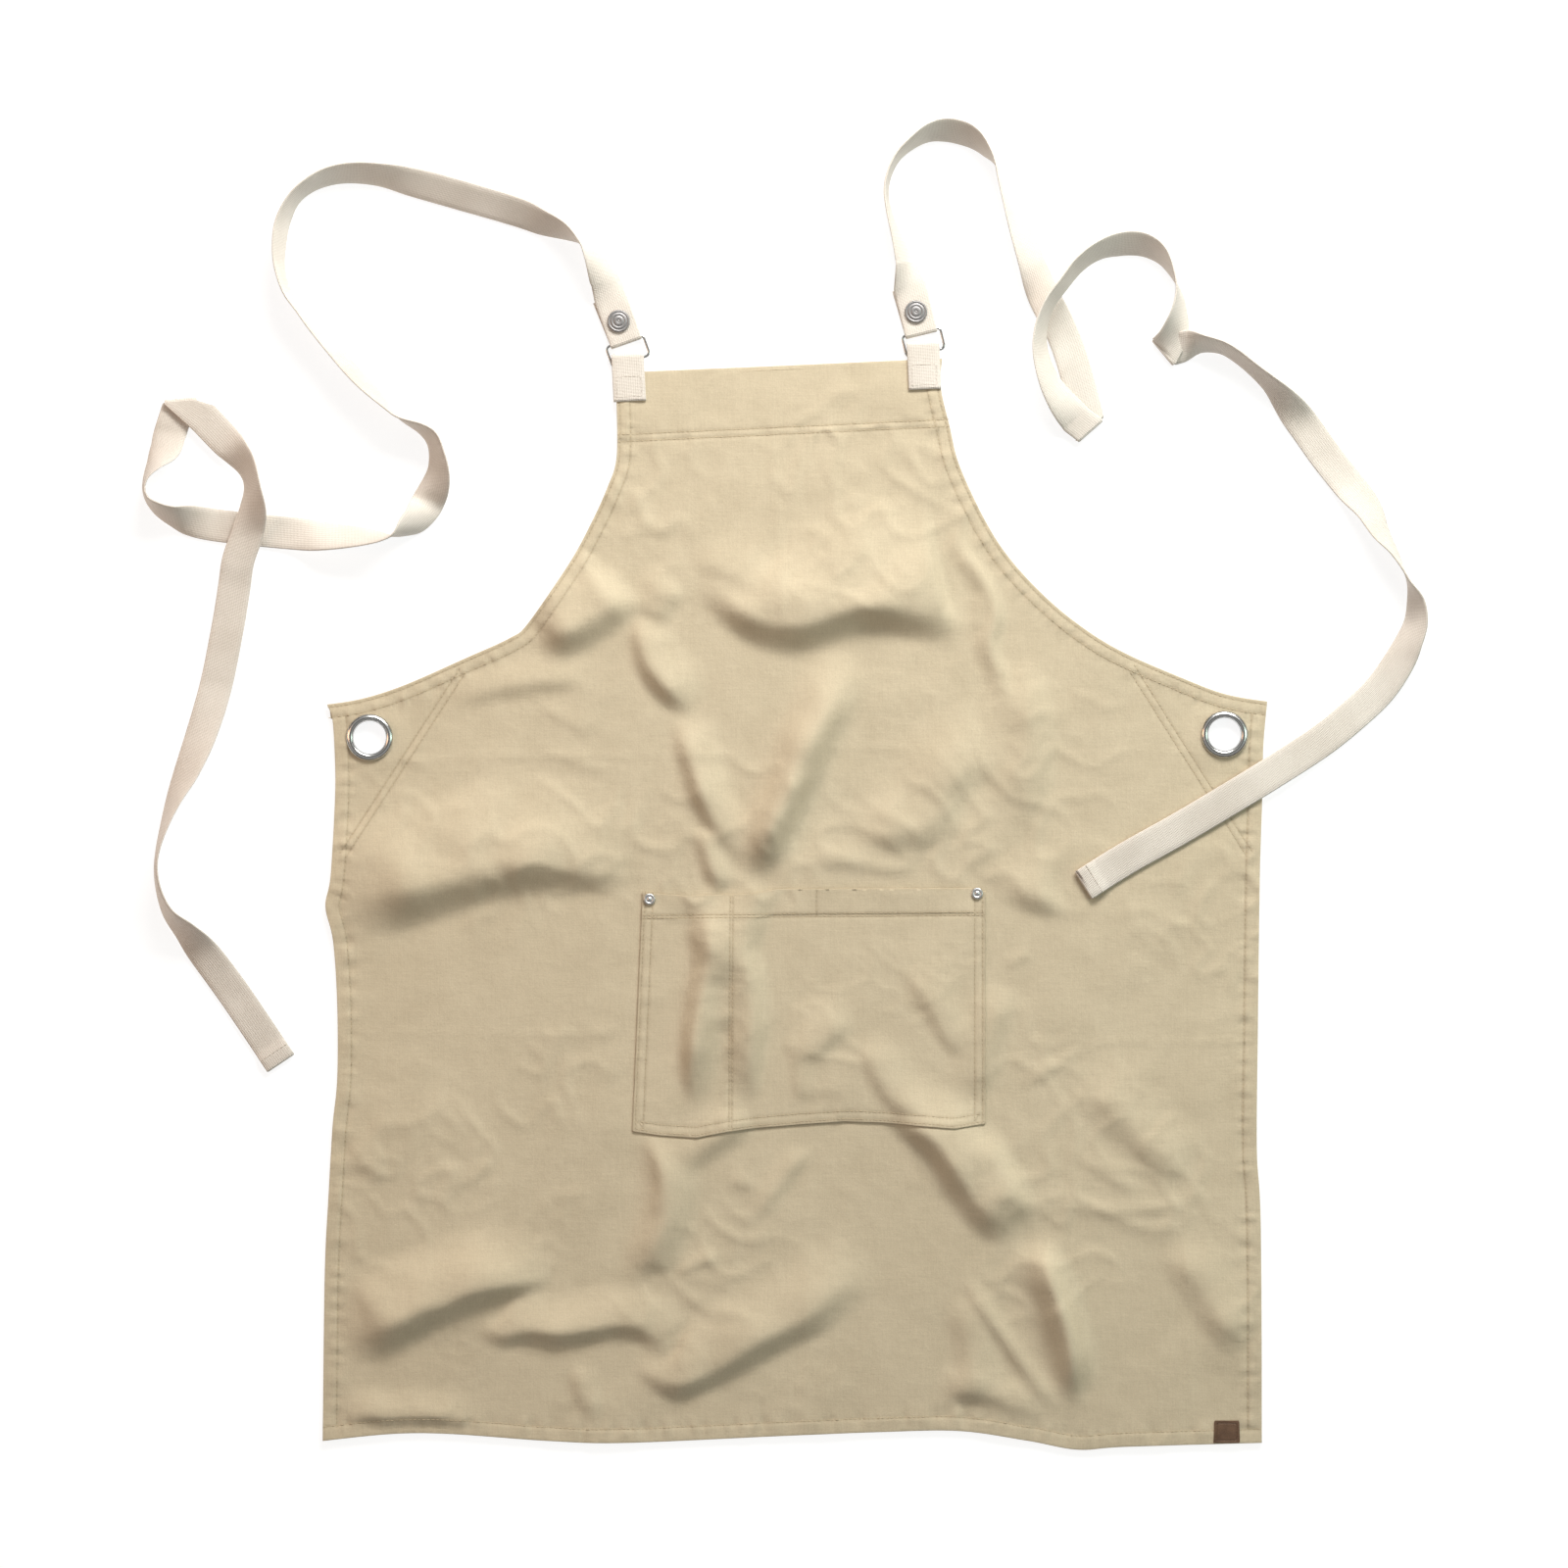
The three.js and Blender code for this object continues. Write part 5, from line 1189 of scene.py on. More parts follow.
def leather_material():
    m = Material("label_leather")
    pores = m.noise(m.coordinates(), 1400, 3)
    cloudy = m.noise(m.coordinates(), 120, 3)
    share = (pores * 0.5 + cloudy * 0.5).eased(0.35, 0.65)
    colour = m.mix(share, rgb(LEATHER_DARK), rgb(LEATHER_LIGHT))
    return m.surface(Base_Color=colour, Roughness=0.55, Normal=m.bump(pores, 0.4, 0.0004))


def thread_material():
    m = Material("thread")
    twist = m.noise(m.coordinates(), 2400, 1)
    colour = m.mix(twist, rgb(THREAD_DARK), rgb(THREAD_LIGHT))
    return m.surface(Base_Color=colour, Roughness=0.7, Sheen_Weight=0.2)


def floor_material():
    m = Material("floor")
    return m.surface(Base_Color=rgb(FLOOR_SHADE), Roughness=0.9, Emission_Color=rgb((1, 1, 1)),
                     Emission_Strength=FLOOR_GLOW, Specular_IOR_Level=0.0)


twill = twill_material()
webbing = webbing_material()
bright_nickel = metal_material("nickel", BRIGHT_NICKEL, 0.25, 0.12)
dull_nickel = metal_material("dull_nickel", DULL_NICKEL, 0.58, 0.12)
rivet_nickel = metal_material("rivet_nickel", RIVET_NICKEL, 0.44, 0.1)
leather = leather_material()
thread = thread_material()


# Cloth pieces

def strip_between(line, near, far):
    return np.vstack([offset_line(line, near), offset_line(line, far)[::-1]])


grommet_cut = GROMMET_BORE / 2 + GROMMET_WALL + 0.25
grommet_holes = {side: disc(at, grommet_cut, 40) for side, at in grommets.items()}
rivet_places = {side: on_pocket(share) for side, share in POCKET_RIVETS.items()}
rivet_holes = [disc(at, RIVET_SHANK / 2 + GAP, 14) for at in rivet_places.values()]


def cloth_piece(name, node, loop, low, high, shadow_painted_edges=(), **options):
    points, faces = sheet_mesh(loop, low, high, **options)
    piece = make_piece(name, points, faces, twill, node, "twill")
    # Painted shadow along the seams and any rims listed
    if options.get("seams"):
        paint_seam_shadows(piece, points, options["seams"] + list(shadow_painted_edges))
    size = loop.max(0) - loop.min(0)
    share = min(1.0, area_of(loop) / (size[0] * size[1]) * 1.02)
    flat = (size[0] / 1000, size[1] / 1000)
    share * flat[0] * flat[1]


def paint_seam_shadows(piece, points, seams):
    """How near each point is to a seam or a listed rim, for the painted shadow that the cloth's material
    lays there.
    """
    gaps = gap_to(tree_of(np.vstack([even_line(line, 0.8) for line in seams])), points[:, :2])
    seam = piece.data.attributes.new("seam", "FLOAT", "POINT")
    seam.data.foreach_set("value", np.exp(-((gaps / PAINTED_SHADOW_REACH) ** 2)))


cloth_piece("panel_cloth", "apron_panel", outline, PANEL_BASE, PANEL_TOP, lip=PANEL_BASE,
            seams=[line for line, _ in panel_stitch_lines],
            holes=list(grommet_holes.values()) + rivet_holes)

hem_strips = {
    "side_hem_left": stretch_of(left_side, ARMHOLE_BAND_WIDTH + 2, -HEM_WIDTH - STRIP_END),
    "side_hem_right": stretch_of(right_side_up, HEM_WIDTH + STRIP_END, -ARMHOLE_BAND_WIDTH - 2),
    "bottom_hem": stretch_of(bottom, STRIP_END, -STRIP_END),
    "armhole_binding_left": stretch_of(left_armhole, STRIP_END, -STRIP_END),
    "armhole_binding_right": stretch_of(right_armhole_up, STRIP_END, -STRIP_END),
}
for node, line in hem_strips.items():
    width = ARMHOLE_BAND_WIDTH if "binding" in node else HEM_WIDTH
    loop = strip_between(line, EDGE_IN, width)
    points, faces = sheet_mesh(loop, 0.0, CLOTH, pitch=5)
    piece = make_piece(node + "_cloth", points, faces, twill, node, "twill")
    along = distances(line)[-1] / 1000

facing_left, facing_right = (stretch_of(armhole, STRIP_END, FACING_DEPTH + TWIN_STITCH)
                             for armhole in (left_armhole, right_armhole))
facing_in = ARMHOLE_BAND_WIDTH + BACK_GAP + 1
facing_loop = np.vstack([
    facing_left + [facing_in, -EDGE_IN], facing_right[::-1] - [facing_in, EDGE_IN],
])
cloth_piece("facing_cloth", "bib_facing", facing_loop, 0.0, CLOTH, pitch=5)

for side, (armhole, edge, turn) in {
    "left": (left_armhole, left_side, 1), "right": (right_armhole, right_side, -1),
}.items():
    above = offset_line(stretch_of(armhole, distances(armhole)[-1] - PATCH_ALONG_ARMHOLE, -14),
                        turn * (ARMHOLE_BAND_WIDTH + BACK_GAP))
    beside = offset_line(stretch_of(edge, 14, PATCH_ALONG_SIDE), turn * (HEM_WIDTH + BACK_GAP))
    corner = above[-1]
    if abs(corner[0]) >= abs(beside[0][0]):
        corner = np.array([beside[0][0], corner[1]])
    loop = np.vstack([above[:-1], corner[None], beside])
    loop = even_line(np.vstack([loop, loop[:1]]), 3)[:-1]
    if turn < 0:
        loop = loop[::-1]
    cloth_piece("patch_cloth_" + side, "corner_patch_" + side, loop, 0.0, CLOTH, pitch=5,
                holes=[grommet_holes[side]])

pocket_top_line = pocket_corners[[0, 15, 14, 13, 12, 11]]


def pocket_relief(x, y):
    """The pocket's hem is thicker, and its mouth stands off the panel here and there."""
    points = np.stack([x, y], 1)
    below = np.interp(x, pocket_top_line[:, 0], pocket_top_line[:, 1]) - y
    hem = POCKET_HEM_RISE * (1 - ramp(below, POCKET_HEM - 1.5, POCKET_HEM + 1))
    mouth = np.exp(-((below / GAPE_DEPTH) ** 2))
    stands = sum(much * np.exp(-(((x - on_pocket((share, 0))[0]) / spread) ** 2))
                 for share, spread, much in POCKET_GAPES)
    rivets = sum(np.exp(-((np.hypot(*(points - at).T) / RIVET_HOLD) ** 2)) for at in rivet_places.values())
    return hem * (1 - np.clip(rivets, 0, 1)) + POCKET_GAPE * mouth * stands


# The pocket's rim is darkened with painted shadow, as its seams are
cloth_piece("pocket_cloth", "pocket", pocket_outline, POCKET_BASE, POCKET_TOP, pitch=3.0, lip=GAP - 0.05,
            seams=[line for line, _ in pocket_stitch_lines], holes=rivet_holes, extra=pocket_relief,
            shadow_painted_edges=[pocket_rim])


# Webbing: straps and tabs

STRAP_LEVEL = WEBBING / 2
RETURN_LEVEL = SNAP_SOCKET + GAP + STRAP_LEVEL
FRONT_LEVEL = RETURN_LEVEL + WEBBING + GAP
RING_FOLD_RADIUS = BAR_LEVEL - STRAP_LEVEL
STRAP_FOLD_RADIUS = RIDE / 2
END_FOLD_RADIUS = (WEBBING + GAP) / 2
FOLD_STEPS = 10
RETURN_TURN = 2.5
SNAP_MARGIN = 2
MOST_STRETCH = 1.08
END_STATIONS = FOLD_STEPS + 3  # at a strap's free end, with its fold
# The webbing's section: places in shares of its width and of half its thickness
WEBBING_SECTION = [
    (-0.5, -0.45), (-0.46, -1), (-0.3, -1), (-0.15, -1), (0, -1), (0.15, -1), (0.3, -1), (0.46, -1),
    (0.5, -0.45), (0.5, 0.45), (0.46, 1), (0.3, 1), (0.15, 1), (0, 1), (-0.15, 1), (-0.3, 1),
    (-0.46, 1), (-0.5, 0.45),
]


def along_bar(turn):
    return np.array([math.cos(math.radians(turn)), math.sin(math.radians(turn))])


def up_strap(turn):
    return np.array([-math.sin(math.radians(turn)), math.cos(math.radians(turn))])


def station(plan, level, across, lift=None):
    """A place on the middle of the webbing, with the vector across it."""
    return {"place": np.array([plan[0], plan[1], level]), "across": np.array(across, float), "lift": lift}


def fold_stations(axis, level, radius, outwards, across, rising):
    """Half a turn about an axis that runs across the webbing."""
    stations = []
    for i in range(FOLD_STEPS + 1):
        angle = (i / FOLD_STEPS - 0.5) * math.pi * (1 if rising else -1)
        plan = axis + outwards * radius * math.cos(angle)
        stations.append(station(plan, level + radius * math.sin(angle), across))
    return stations


def ring_stations(fitting):
    axis, turn = on_apron(fitting["bar"]), fitting["bar_turn"]
    up, up_return = up_strap(turn), up_strap(turn + RETURN_TURN)
    across = np.array([*-along_bar(turn), 0])
    snap_at = SNAP_FROM_FOLD - RING_FOLD_RADIUS - STRAP_LEVEL
    flat = SNAP_DIAMETER / 2 + SNAP_MARGIN
    back = [station(axis + up_return * far, RETURN_LEVEL, across)
            for far in (STRAP_RETURN, STRAP_RETURN - 3, snap_at + flat, snap_at, snap_at - flat)]
    fold = fold_stations(axis, BAR_LEVEL, RING_FOLD_RADIUS, -up, across, True)
    front = [station(axis + up * far, FRONT_LEVEL, across)
             for far in (snap_at - flat, snap_at, snap_at + flat, STRAP_RETURN + 1)]
    return back + fold + front


def smooth_rows(rows, length):
    ends = [rows[0], *rows, rows[-1]]
    stations = []
    for a, b, c, d in zip(ends, ends[1:], ends[2:], ends[3:]):
        span = math.hypot(c[0] - b[0], c[1] - b[1]) * length / 1000
        steps = max(1, round(span / STRAP_PITCH))
        stations += [spline(*map(np.array, (a, b, c, d)), k / steps) for k in range(steps)]
    return stations + [np.array(rows[-1], float)]


def route_stations(route, origin, length):
    stations, first = [], 0
    for i, row in enumerate(route):
        x, y, across_x, across_y, rise, layer, fold = row
        last = i == len(route) - 1
        if not fold and not last:
            continue
        stretch = smooth_rows(route[first:i + 1], length)
        if fold:
            stretch.pop()
        for item in stretch:
            across = item[2:5] / np.linalg.norm(item[2:5])
            lift = max(0.0, item[5]) * RIDE
            level = lift + STRAP_LEVEL + abs(item[4]) * WEBBING_WIDTH / 2
            stations.append(station(origin + item[:2] * length / 1000, level, across, lift))
        if fold:
            before = route[i - 1]
            across = np.array([across_x, across_y, 0]) / math.hypot(across_x, across_y)
            outwards = np.array([-across[1], across[0]])
            if outwards @ (x - before[0], y - before[1]) < 0:
                outwards = -outwards
            plan = origin + np.array([x, y]) * length / 1000 - outwards * STRAP_FOLD_RADIUS
            level = STRAP_LEVEL + STRAP_FOLD_RADIUS
            stations += fold_stations(plan, level, STRAP_FOLD_RADIUS, outwards, across, fold > 0)
        first = i + 1
    return stations


def end_stations(last, before):
    """The free end is turned under once."""
    along = (last["place"] - before["place"])[:2]
    along /= np.linalg.norm(along)
    across = np.array([-along[1], along[0], 0])
    if across @ last["across"] < 0:
        across = -across
    level = last["lift"] + STRAP_LEVEL
    axis = last["place"][:2] - along * (END_FOLD_RADIUS + STRAP_LEVEL)
    fold = fold_stations(axis, level + END_FOLD_RADIUS, END_FOLD_RADIUS, along, across, False)
    return fold + [station(axis - along * STRAP_END_HEM * share, level, across) for share in (0.5, 1)]


def unit(vector):
    return vector / np.linalg.norm(vector)


def settle(stations):
    """Keeps the webbing's full width, with its lower edge on what is beneath it."""
    for _ in range(3):
        for i, item in enumerate(stations):
            ahead, behind = stations[min(i + 1, len(stations) - 1)], stations[max(i - 1, 0)]
            along = unit(ahead["place"] - behind["place"])
            square = item["across"] - along * (item["across"] @ along)
            stretch = min(1 / np.linalg.norm(square), MOST_STRETCH / np.linalg.norm(item["across"]))
            item["across"] = item["across"] * WEBBING_WIDTH * stretch
            item["normal"] = unit(np.cross(along, item["across"]))
            if item["lift"] is not None:
                item["place"][2] = (item["lift"] + abs(item["across"][2]) / 2
                                    + abs(item["normal"][2]) * STRAP_LEVEL)


def webbing_mesh(stations, thickness):
    points, run = [], [0.0]
    count = len(WEBBING_SECTION)
    for i, item in enumerate(stations):
        if i:
            run.append(run[-1] + np.linalg.norm(item["place"] - stations[i - 1]["place"]))
        for side, face in WEBBING_SECTION:
            points.append(item["place"] + item["across"] * side + item["normal"] * face * thickness / 2)
    faces = tube_faces(len(stations), count)
    for base, first in ((0, True), ((len(stations) - 1) * count, False)):
        for k in range(count // 2 - 1):
            a, b = base + k, base + k + 1
            c, d = base + count - 1 - k, base + count - 2 - k
            faces.append((a, c, d, b) if first else (a, b, d, c))
    return np.array(points), faces, run


def webbing_piece(name, node, stations, thickness, flat_length):
    points, faces, run = webbing_mesh(stations, thickness)
    piece = make_piece(name, points, faces, webbing, node, "webbing")
    layer = piece.data.uv_layers.new(name="UVMap")
    count = len(WEBBING_SECTION)
    for corner in piece.data.loops:
        row, k = divmod(corner.vertex_index, count)
        across = (WEBBING_SECTION[k][0] + 0.5) * WEBBING_WIDTH / 1000
        layer.data[corner.index].uv = (across, run[row] / 1000)
    flat_length / 1000


def strap_stations(fitting, route, length):
    start = ring_stations(fitting)
    up = up_strap(fitting["bar_turn"])
    origin = on_apron(fitting["bar"]) - up * (RING_FOLD_RADIUS + STRAP_LEVEL)
    middle = route_stations(route, origin, length)
    tip = middle[-1]["place"].copy()
    for item in middle:
        if item["lift"] is not None:
            reach = np.linalg.norm(item["place"] - tip)
            near = 1 - ramp(reach, STRAP_END_HEM, STRAP_END_HEM + 2 * STRAP_PITCH)
            item["lift"] += float(near) * 2 * END_FOLD_RADIUS
    last = middle.pop()
    last["lift"] -= 2 * END_FOLD_RADIUS
    stations = start + middle + end_stations(last, middle[-1])
    settle(stations)
    return stations


ROUTES = {"left": (LEFT_ROUTE, LEFT_STRAP_LENGTH), "right": (RIGHT_ROUTE, RIGHT_STRAP_LENGTH)}
strap_runs = {}
for side, (route, length) in ROUTES.items():
    strap_runs[side] = strap_stations(FITTINGS[side], route, length)
    webbing_piece("strap_webbing_" + side, "strap_" + side, strap_runs[side], WEBBING,
                  length + STRAP_RETURN)

for side, fitting in FITTINGS.items():
    turn = fitting["tab_turn"]
    up, across = up_strap(turn), np.array([*along_bar(turn), 0])
    fold_at = on_apron(fitting["tab_fold"])
    radius = (TAB_FRONT - TAB_WEBBING) / 2 + TAB_WEBBING / 2
    leg = TAB_LENGTH - radius - TAB_WEBBING / 2
    legs = [leg, leg - 2, *np.linspace(leg - 6, 2, 6)]
    stations = [station(fold_at - up * far, BAR_LEVEL - radius, across) for far in legs]
    stations += fold_stations(fold_at, BAR_LEVEL, radius, up, across, True)
    stations += [station(fold_at - up * far, BAR_LEVEL + radius, across) for far in reversed(legs)]
    settle(stations)
    webbing_piece("tab_webbing_" + side, "tab_" + side, stations, TAB_WEBBING,
                  2 * leg + math.pi * radius)


# Metal

def ring_path(width, span, radius, steps=8):
    path = []
    for k, (cx, cy) in enumerate(((1, 1), (-1, 1), (-1, -1), (1, -1))):
        for angle in np.linspace(k * math.pi / 2, (k + 1) * math.pi / 2, steps):
            path.append((cx * (width / 2 - radius) + radius * math.cos(angle),
                         cy * (span / 2 - radius) + radius * math.sin(angle)))
    return np.array(path)


def ring_mesh(centre, turn, level, sides=16):
    path = ring_path(RING_WIDTH, RING_SPAN, RING_CORNER)
    axes = np.stack([along_bar(turn), up_strap(turn)])
    outward = offset_line_closed(path, 1.0, outwards=True) - path
    points = []
    for at, out in zip(path, outward):
        for angle in np.linspace(0, 2 * math.pi, sides, endpoint=False):
            reach = RING_WIRE / 2 * math.cos(angle)
            plan = centre + (at + out * reach) @ axes
            points.append((plan[0], plan[1], level + RING_WIRE / 2 * math.sin(angle)))
    faces = [(a, d, c, b) for a, b, c, d in tube_faces(len(path), sides, closed=True)]
    return np.array(points), faces


for side, fitting in FITTINGS.items():
    turn = fitting["bar_turn"]
    middle = (on_apron(fitting["bar"]) + along_bar(turn) * fitting["ring_shift"]
              - up_strap(turn) * RING_SPAN / 2)
    make_piece("ring_wire_" + side, *ring_mesh(middle, turn, BAR_LEVEL), bright_nickel,
               "ring_" + side, "nickel")


def round_piece(name, node, profile, centre, material, sides=64):
    make_piece(name, *turned(profile, centre, sides), material, node, "nickel")


def crown(inner, outer, seat, height, shares):
    """Places on a flange from its outer rim inwards, given in shares across and up."""
    return [(inner + a * (outer - inner), seat + b * height) for a, b in shares]


bore = GROMMET_BORE / 2
barrel = bore + GROMMET_WALL
flange_seat = PANEL_TOP + WASHER_SEAT + GAP / 2
flange = crown(bore, GROMMET_DIAMETER / 2, flange_seat, GROMMET_HEIGHT + GAP / 2, [
    (0.985, 0.12), (1, 0.26), (0.985, 0.4), (0.93, 0.56), (0.82, 0.74), (0.68, 0.9), (0.55, 0.985),
    (0.45, 1), (0.33, 0.95), (0.2, 0.82), (0.1, 0.6), (0.03, 0.32),
])
for side, at in grommets.items():
    foot = [(bore, 0.15), (barrel, 0.15), (barrel, flange_seat), (GROMMET_DIAMETER / 2 - 0.4, flange_seat)]
    ring = foot + flange + [(bore, flange_seat), (bore, 0.15)]
    round_piece("grommet_ring_" + side, "grommet_" + side, ring, at, bright_nickel)
    inner, outer = barrel + GAP, GROMMET_DIAMETER / 2
    plate = [(inner, 0.0), (outer - 0.2, 0.0), (outer, 0.2), (outer, WASHER - 0.2), (outer - 0.2, WASHER),
             (inner, WASHER), (inner, 0.0)]
    round_piece("washer_plate_" + side, "grommet_washer_" + side, plate, at, bright_nickel)

rivet_seat = POCKET_TOP + GAP
rivet_cap = crown(0, RIVET_DIAMETER / 2, rivet_seat, RIVET_HEIGHT, [
    (0.97, 0.02), (1, 0.16), (0.98, 0.38), (0.9, 0.66), (0.8, 0.8), (0.7, 0.83), (0.6, 0.76), (0.52, 0.6),
    (0.44, 0.56), (0.38, 0.64), (0.28, 0.86), (0.16, 0.97), (0, 1),
])
for side, at in rivet_places.items():
    burr, shank = RIVET_BURR_DIAMETER / 2, RIVET_SHANK / 2
    stem = [(0, 0), (burr - 0.2, 0), (burr, 0.25), (burr, RIVET_BURR), (shank, RIVET_BURR),
            (shank, rivet_seat)]
    round_piece("rivet_cap_" + side, "pocket_rivet_" + side, stem + rivet_cap, at, rivet_nickel, 48)

snap_seat = FRONT_LEVEL + STRAP_LEVEL + GAP / 2
snap_cap = crown(0, SNAP_DIAMETER / 2, snap_seat, SNAP_HEIGHT, [
    (0.97, 0.0), (1, 0.16), (0.995, 0.38), (0.965, 0.6), (0.91, 0.74), (0.85, 0.74), (0.81, 0.6),
    (0.78, 0.56), (0.74, 0.6), (0.69, 0.74), (0.63, 0.78), (0.52, 0.8), (0.5, 0.72), (0.47, 0.72),
    (0.45, 0.81), (0.3, 0.84), (0.14, 0.86), (0.11, 0.8), (0.08, 0.8), (0.05, 0.88), (0, 0.9),
])
for side, fitting in FITTINGS.items():
    from_bar = SNAP_FROM_FOLD - RING_FOLD_RADIUS - STRAP_LEVEL
    at = on_apron(fitting["bar"]) + up_strap(fitting["bar_turn"]) * from_bar
    socket, post = SNAP_SOCKET_DIAMETER / 2, SNAP_POST / 2
    stem = [(0, 0), (socket - 0.2, 0), (socket, 0.2), (socket, SNAP_SOCKET), (post, SNAP_SOCKET),
            (post, snap_seat)]
    round_piece("snap_cap_" + side, "snap_" + side, stem + snap_cap, at, dull_nickel)


# The label: a bare leather trapezoid with a plain pressed border

LABEL_LIFT = 0.12
LABEL_TAPER = 0.94
# From its rim inwards: how far in, and how far below its top
LABEL_BORDER = ((0, 0.25), (0.25, 0), (1.6, 0), (1.9, 0.28), (2.3, 0.28), (2.6, 0))


def label_mesh():
    middle = label_corner - [LABEL_FROM_SIDE, 0]
    seat = PANEL_TOP + LABEL_LIFT
    top = seat + LABEL

    def ring(inset):
        half, upper = LABEL_WIDTH / 2 - inset, LABEL_TAPER * LABEL_WIDTH / 2 - inset
        corners = np.array([(-half, inset), (half, inset), (upper, LABEL_HEIGHT - inset),
                            (-upper, LABEL_HEIGHT - inset)])
        return even_line(np.vstack([corners, corners[:1]]), 1.6)[:-1] + middle

    count = len(ring(0))
    rings = [np.column_stack([ring(0), np.full(count, seat)])]
    for inset, sunk in LABEL_BORDER:
        rings.append(np.column_stack([resample(ring(inset), count), np.full(count, top - sunk)]))
    centre = middle + [0, LABEL_HEIGHT / 2]
    points = np.vstack(rings + [[[*centre, top]], [[*centre, seat]]])
    faces = tube_faces(len(rings), count)
    last, hub = (len(rings) - 1) * count, len(rings) * count
    faces += [(last + k, last + (k + 1) % count, hub) for k in range(count)]
    faces += [((k + 1) % count, k, hub + 1) for k in range(count)]
    return points, faces


def resample(loop, count):
    closed = np.vstack([loop, loop[:1]])
    along = distances(closed)
    at = np.linspace(0, along[-1], count, endpoint=False)
    return np.stack([np.interp(at, along, closed[:, k]) for k in range(2)], 1)


make_piece("label_patch", *label_mesh(), leather, "hem_label", "label_leather", smooth=False)


# Stitches, laid along curves by a Geometry Nodes tree

class Geometry:
    """A Geometry Nodes tree built in one go."""

    def __init__(self, name):
        self.tree = bpy.data.node_groups.new(name, "GeometryNodeTree")
        self.tree.interface.new_socket("Geometry", in_out="INPUT", socket_type="NodeSocketGeometry")
        self.tree.interface.new_socket("Geometry", in_out="OUTPUT", socket_type="NodeSocketGeometry")
        self.source = self.tree.nodes.new("NodeGroupInput")
        self.result = self.tree.nodes.new("NodeGroupOutput")
        self.sockets = {}

    def number(self, name, value):
        socket = self.tree.interface.new_socket(name, in_out="INPUT", socket_type="NodeSocketFloat")
        socket.default_value = value
        self.sockets[name] = socket.identifier
        return self.source.outputs[name]

    def add(self, kind, settings=None, **inputs):
        node = self.tree.nodes.new(kind)
        for key, value in (settings or {}).items():
            setattr(node, key, value)
        for key, value in inputs.items():
            socket = node.inputs[key.replace("_", " ")]
            if isinstance(value, bpy.types.NodeSocket):
                self.tree.links.new(value, socket)
            else:
                socket.default_value = value
        return node


STITCH_SIZES = {"Pitch": 0.0034, "Length": 0.0027, "Width": 0.00055, "Height": 0.0005}
WOBBLE = (0.88, 1.1)


def stitch_tree():
    g = Geometry("stitch_rows")
    pitch, length, width, height = (g.number(name, value) for name, value in STITCH_SIZES.items())
    curve = g.add("GeometryNodeMeshToCurve", Mesh=g.source.outputs["Geometry"])
    spots = g.add("GeometryNodeCurveToPoints", {"mode": "LENGTH"}, Curve=curve.outputs[0], Length=pitch)
    size = g.add("ShaderNodeCombineXYZ", X=width, Y=height, Z=length)
    bead = g.add("GeometryNodeMeshUVSphere", Segments=8, Rings=5, Radius=0.5)
    wobble = g.add("FunctionNodeRandomValue", {"data_type": "FLOAT"})
    wobble.inputs[2].default_value, wobble.inputs[3].default_value = WOBBLE
    wobble.inputs["Seed"].default_value = 5
    scaled = g.add("ShaderNodeVectorMath", {"operation": "SCALE"}, Vector=size.outputs[0],
                   Scale=wobble.outputs[1])
    laid = g.add("GeometryNodeInstanceOnPoints", Points=spots.outputs["Points"],
                 Instance=bead.outputs["Mesh"], Rotation=spots.outputs["Rotation"],
                 Scale=scaled.outputs[0])
    real = g.add("GeometryNodeRealizeInstances", Geometry=laid.outputs[0])
    painted = g.add("GeometryNodeSetMaterial", Geometry=real.outputs[0], Material=thread)
    g.tree.links.new(painted.outputs[0], g.result.inputs[0])
    return g


stitches = stitch_tree()


def stitch_piece(name, lines, material=None, pitch=STITCH + STITCH_GAP):
    """Runs of stitches along lines of millimetre points that lie on their cloth."""
    points = np.vstack(lines)
    edges, start = [], 0
    for line in lines:
        edges += [(start + k, start + k + 1) for k in range(len(line) - 1)]
        start += len(line)
    mesh = bpy.data.meshes.new(name + "_lines")
    mesh.from_pydata(place(points).tolist(), edges, [])
    source = stand(name + "_lines", mesh)
    modifier = source.modifiers.new("stitches", "NODES")
    modifier.node_group = stitches.tree
    sizes = {"Pitch": pitch, "Length": STITCH, "Width": THREAD, "Height": 0.8 * THREAD}
    for key, value in sizes.items():
        modifier[stitches.sockets[key]] = value / 1000
    graph = bpy.context.evaluated_depsgraph_get()
    laid = bpy.data.meshes.new_from_object(source.evaluated_get(graph))
    source.modifiers.remove(modifier)
    bpy.data.objects.remove(source)
    laid.name = name
    laid.materials.clear()
    laid.materials.append(material or thread)
    laid.shade_smooth()
    piece = stand(name, laid)
    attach(piece, "root")


def on_cloth(line, level, relief=None):
    """A line of stitches, half sunk in the cloth, with the little waver of a real seam."""
    fine = even_line(line, 0.85)
    length = distances(fine)[-1] + 2 * WAVER_PITCH
    knots = np.arange(0, length, WAVER_PITCH)
    draws = rng.normal(0, WAVER, int(length / WAVER_PITCH) + 2)
    waver = np.interp(distances(fine), knots, draws[:len(knots)])
    fine = fine + waver[:, None] * [0.7, 0.7]
    height = height_at(fine[:, 0], fine[:, 1])
    if relief is not None:
        height = height + relief(fine[:, 0], fine[:, 1])
    return np.column_stack([fine, height + level])


panel_runs = [on_cloth(line, PANEL_TOP + STITCH_SINK) for line, _ in panel_stitch_lines]
stitch_piece("panel_stitches", panel_runs)
pocket_runs = [on_cloth(line, POCKET_TOP + STITCH_SINK, pocket_relief) for line, _ in pocket_stitch_lines]
stitch_piece("pocket_stitches", pocket_runs)

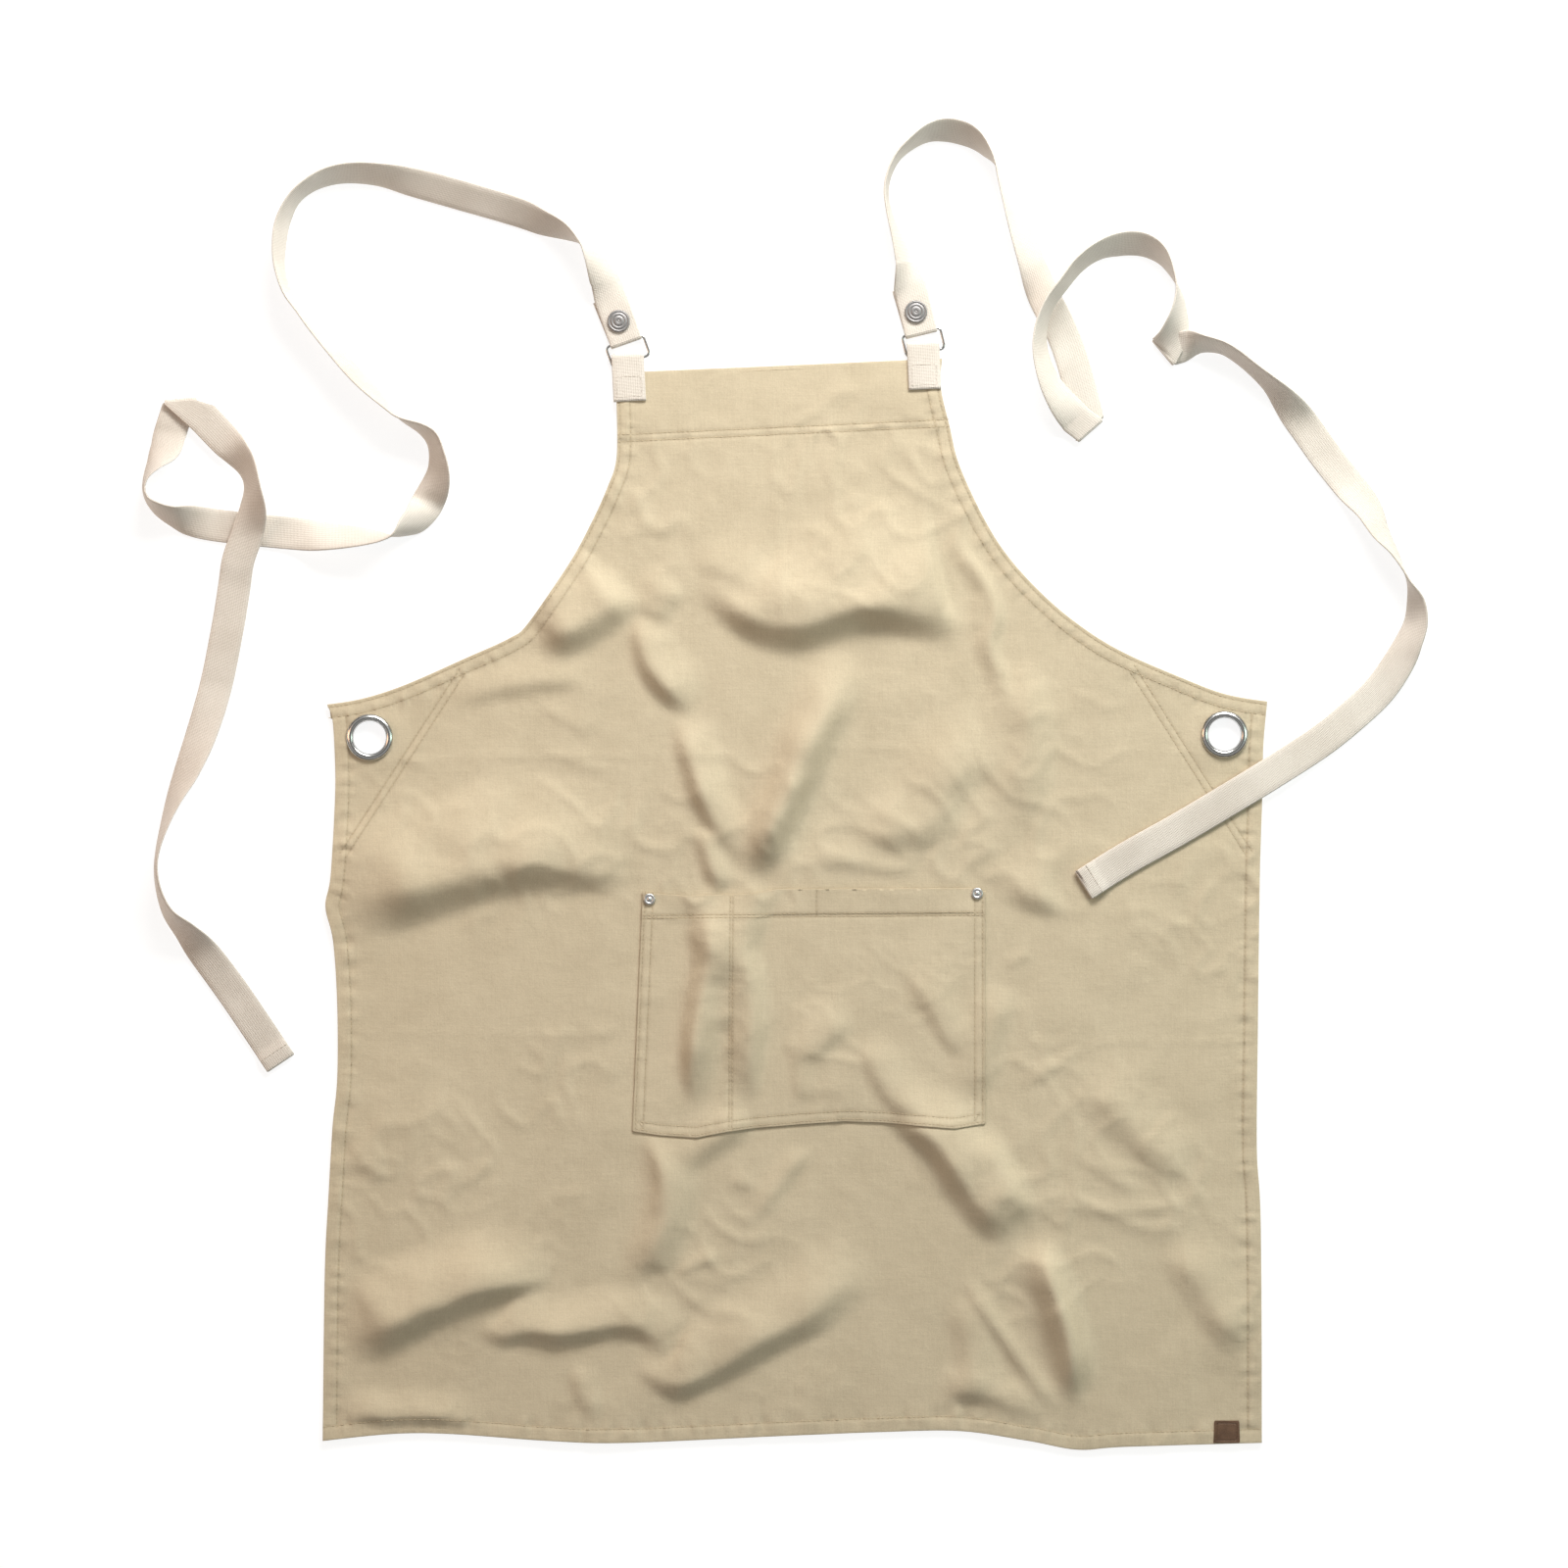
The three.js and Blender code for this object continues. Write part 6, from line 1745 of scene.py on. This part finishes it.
strap_lines = []
for side, run in strap_runs.items():
    tail, tip = run[-END_STATIONS - 4], run[-END_STATIONS]
    along = unit((tip["place"] - tail["place"]) * [1, 1, 0])
    across = np.array([-along[1], along[0], 0])
    middle = tip["place"] - along * (STRAP_END_HEM - 2)
    top = max(item["place"][2] for item in run[-END_STATIONS:]) + STRAP_LEVEL + 0.06
    reach = WEBBING_WIDTH / 2 - 1.5
    line = np.array([middle + across * share * reach for share in np.linspace(-1, 1, 12)])
    line[:, 2] = top
    strap_lines.append(line)
for side, fitting in FITTINGS.items():
    turn = fitting["tab_turn"]
    up, across = up_strap(turn), along_bar(turn)
    fold_at = on_apron(fitting["tab_fold"])
    level = TAB_FRONT + TAB_WEBBING + 0.06
    half, low, high = WEBBING_WIDTH / 2 - 3, TAB_LENGTH - 6.2, TAB_LENGTH - 21
    corners = [(-half, low), (half, low), (half, high), (-half, high), (-half, low)]
    box = even_line(np.array([fold_at + across * a - up * b for a, b in corners]), 1.2)
    strap_lines.append(np.column_stack([box, np.full(len(box), level)]))
stitch_piece("webbing_stitches", strap_lines, webbing, pitch=3.0)


# Camera, lights and floor

def softbox(name, at, size, power, colour):
    light = bpy.data.lights.new(name, "AREA")
    light.shape = "RECTANGLE"
    light.size, light.size_y = size
    light.energy, light.color = power, colour
    lamp = stand(name, light)
    lamp.location = at
    lamp.rotation_euler = (Vector(LIT_POINT) - Vector(at)).to_track_quat("-Z", "Y").to_euler()
    lamp.visible_camera = False


camera_data = bpy.data.cameras.new("camera")
camera_data.lens, camera_data.sensor_width = LENS, SENSOR
camera_data.clip_end = CLIP_END
camera = stand("camera", camera_data)
photo_middle = place([[*from_photo([(PHOTO_SIDE / 2, PHOTO_SIDE / 2)])[0], 0]])[0]
photo_width = PHOTO_SIDE * PHOTO_MM / 1000
camera.location = (photo_middle[0], photo_middle[1], photo_width * LENS / SENSOR)
camera.rotation_euler = (0, 0, 0)
bpy.context.scene.camera = camera

for name, setting in SOFTBOXES.items():
    softbox(name, *setting)


def sky():
    """A soft room: dark at the horizon, pale higher up, greyer overhead, for the metal to mirror."""
    world = bpy.data.worlds.new("room")
    world.use_nodes = True
    nodes, links = world.node_tree.nodes, world.node_tree.links
    where = nodes.new("ShaderNodeTexCoord")
    split = nodes.new("ShaderNodeSeparateXYZ")
    ramp_node = nodes.new("ShaderNodeValToRGB")
    links.new(where.outputs["Generated"], split.inputs[0])
    links.new(split.outputs["Z"], ramp_node.inputs[0])
    elements = ramp_node.color_ramp.elements
    while len(elements) < len(SKY_STEPS):
        elements.new(0.5)
    for element, (position, value) in zip(elements, SKY_STEPS):
        element.position, element.color = position, (value, value * 0.99, value * 0.97, 1)
    background = nodes["Background"]
    links.new(ramp_node.outputs["Color"], background.inputs["Color"])
    background.inputs["Strength"].default_value = SKY_STRENGTH
    bpy.context.scene.world = world


sky()
bpy.context.scene.view_settings.view_transform = "Standard"

floor_mesh = bpy.data.meshes.new("floor")
floor_corners = [(x * FLOOR_REACH, y * FLOOR_REACH, FLOOR_LEVEL)
                 for x, y in ((-1, -1), (1, -1), (1, 1), (-1, 1))]
floor_mesh.from_pydata(floor_corners, [], [(0, 1, 2, 3)])
floor = stand("floor", floor_mesh)
floor_mesh.materials.append(floor_material())
floor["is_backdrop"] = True

low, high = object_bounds()
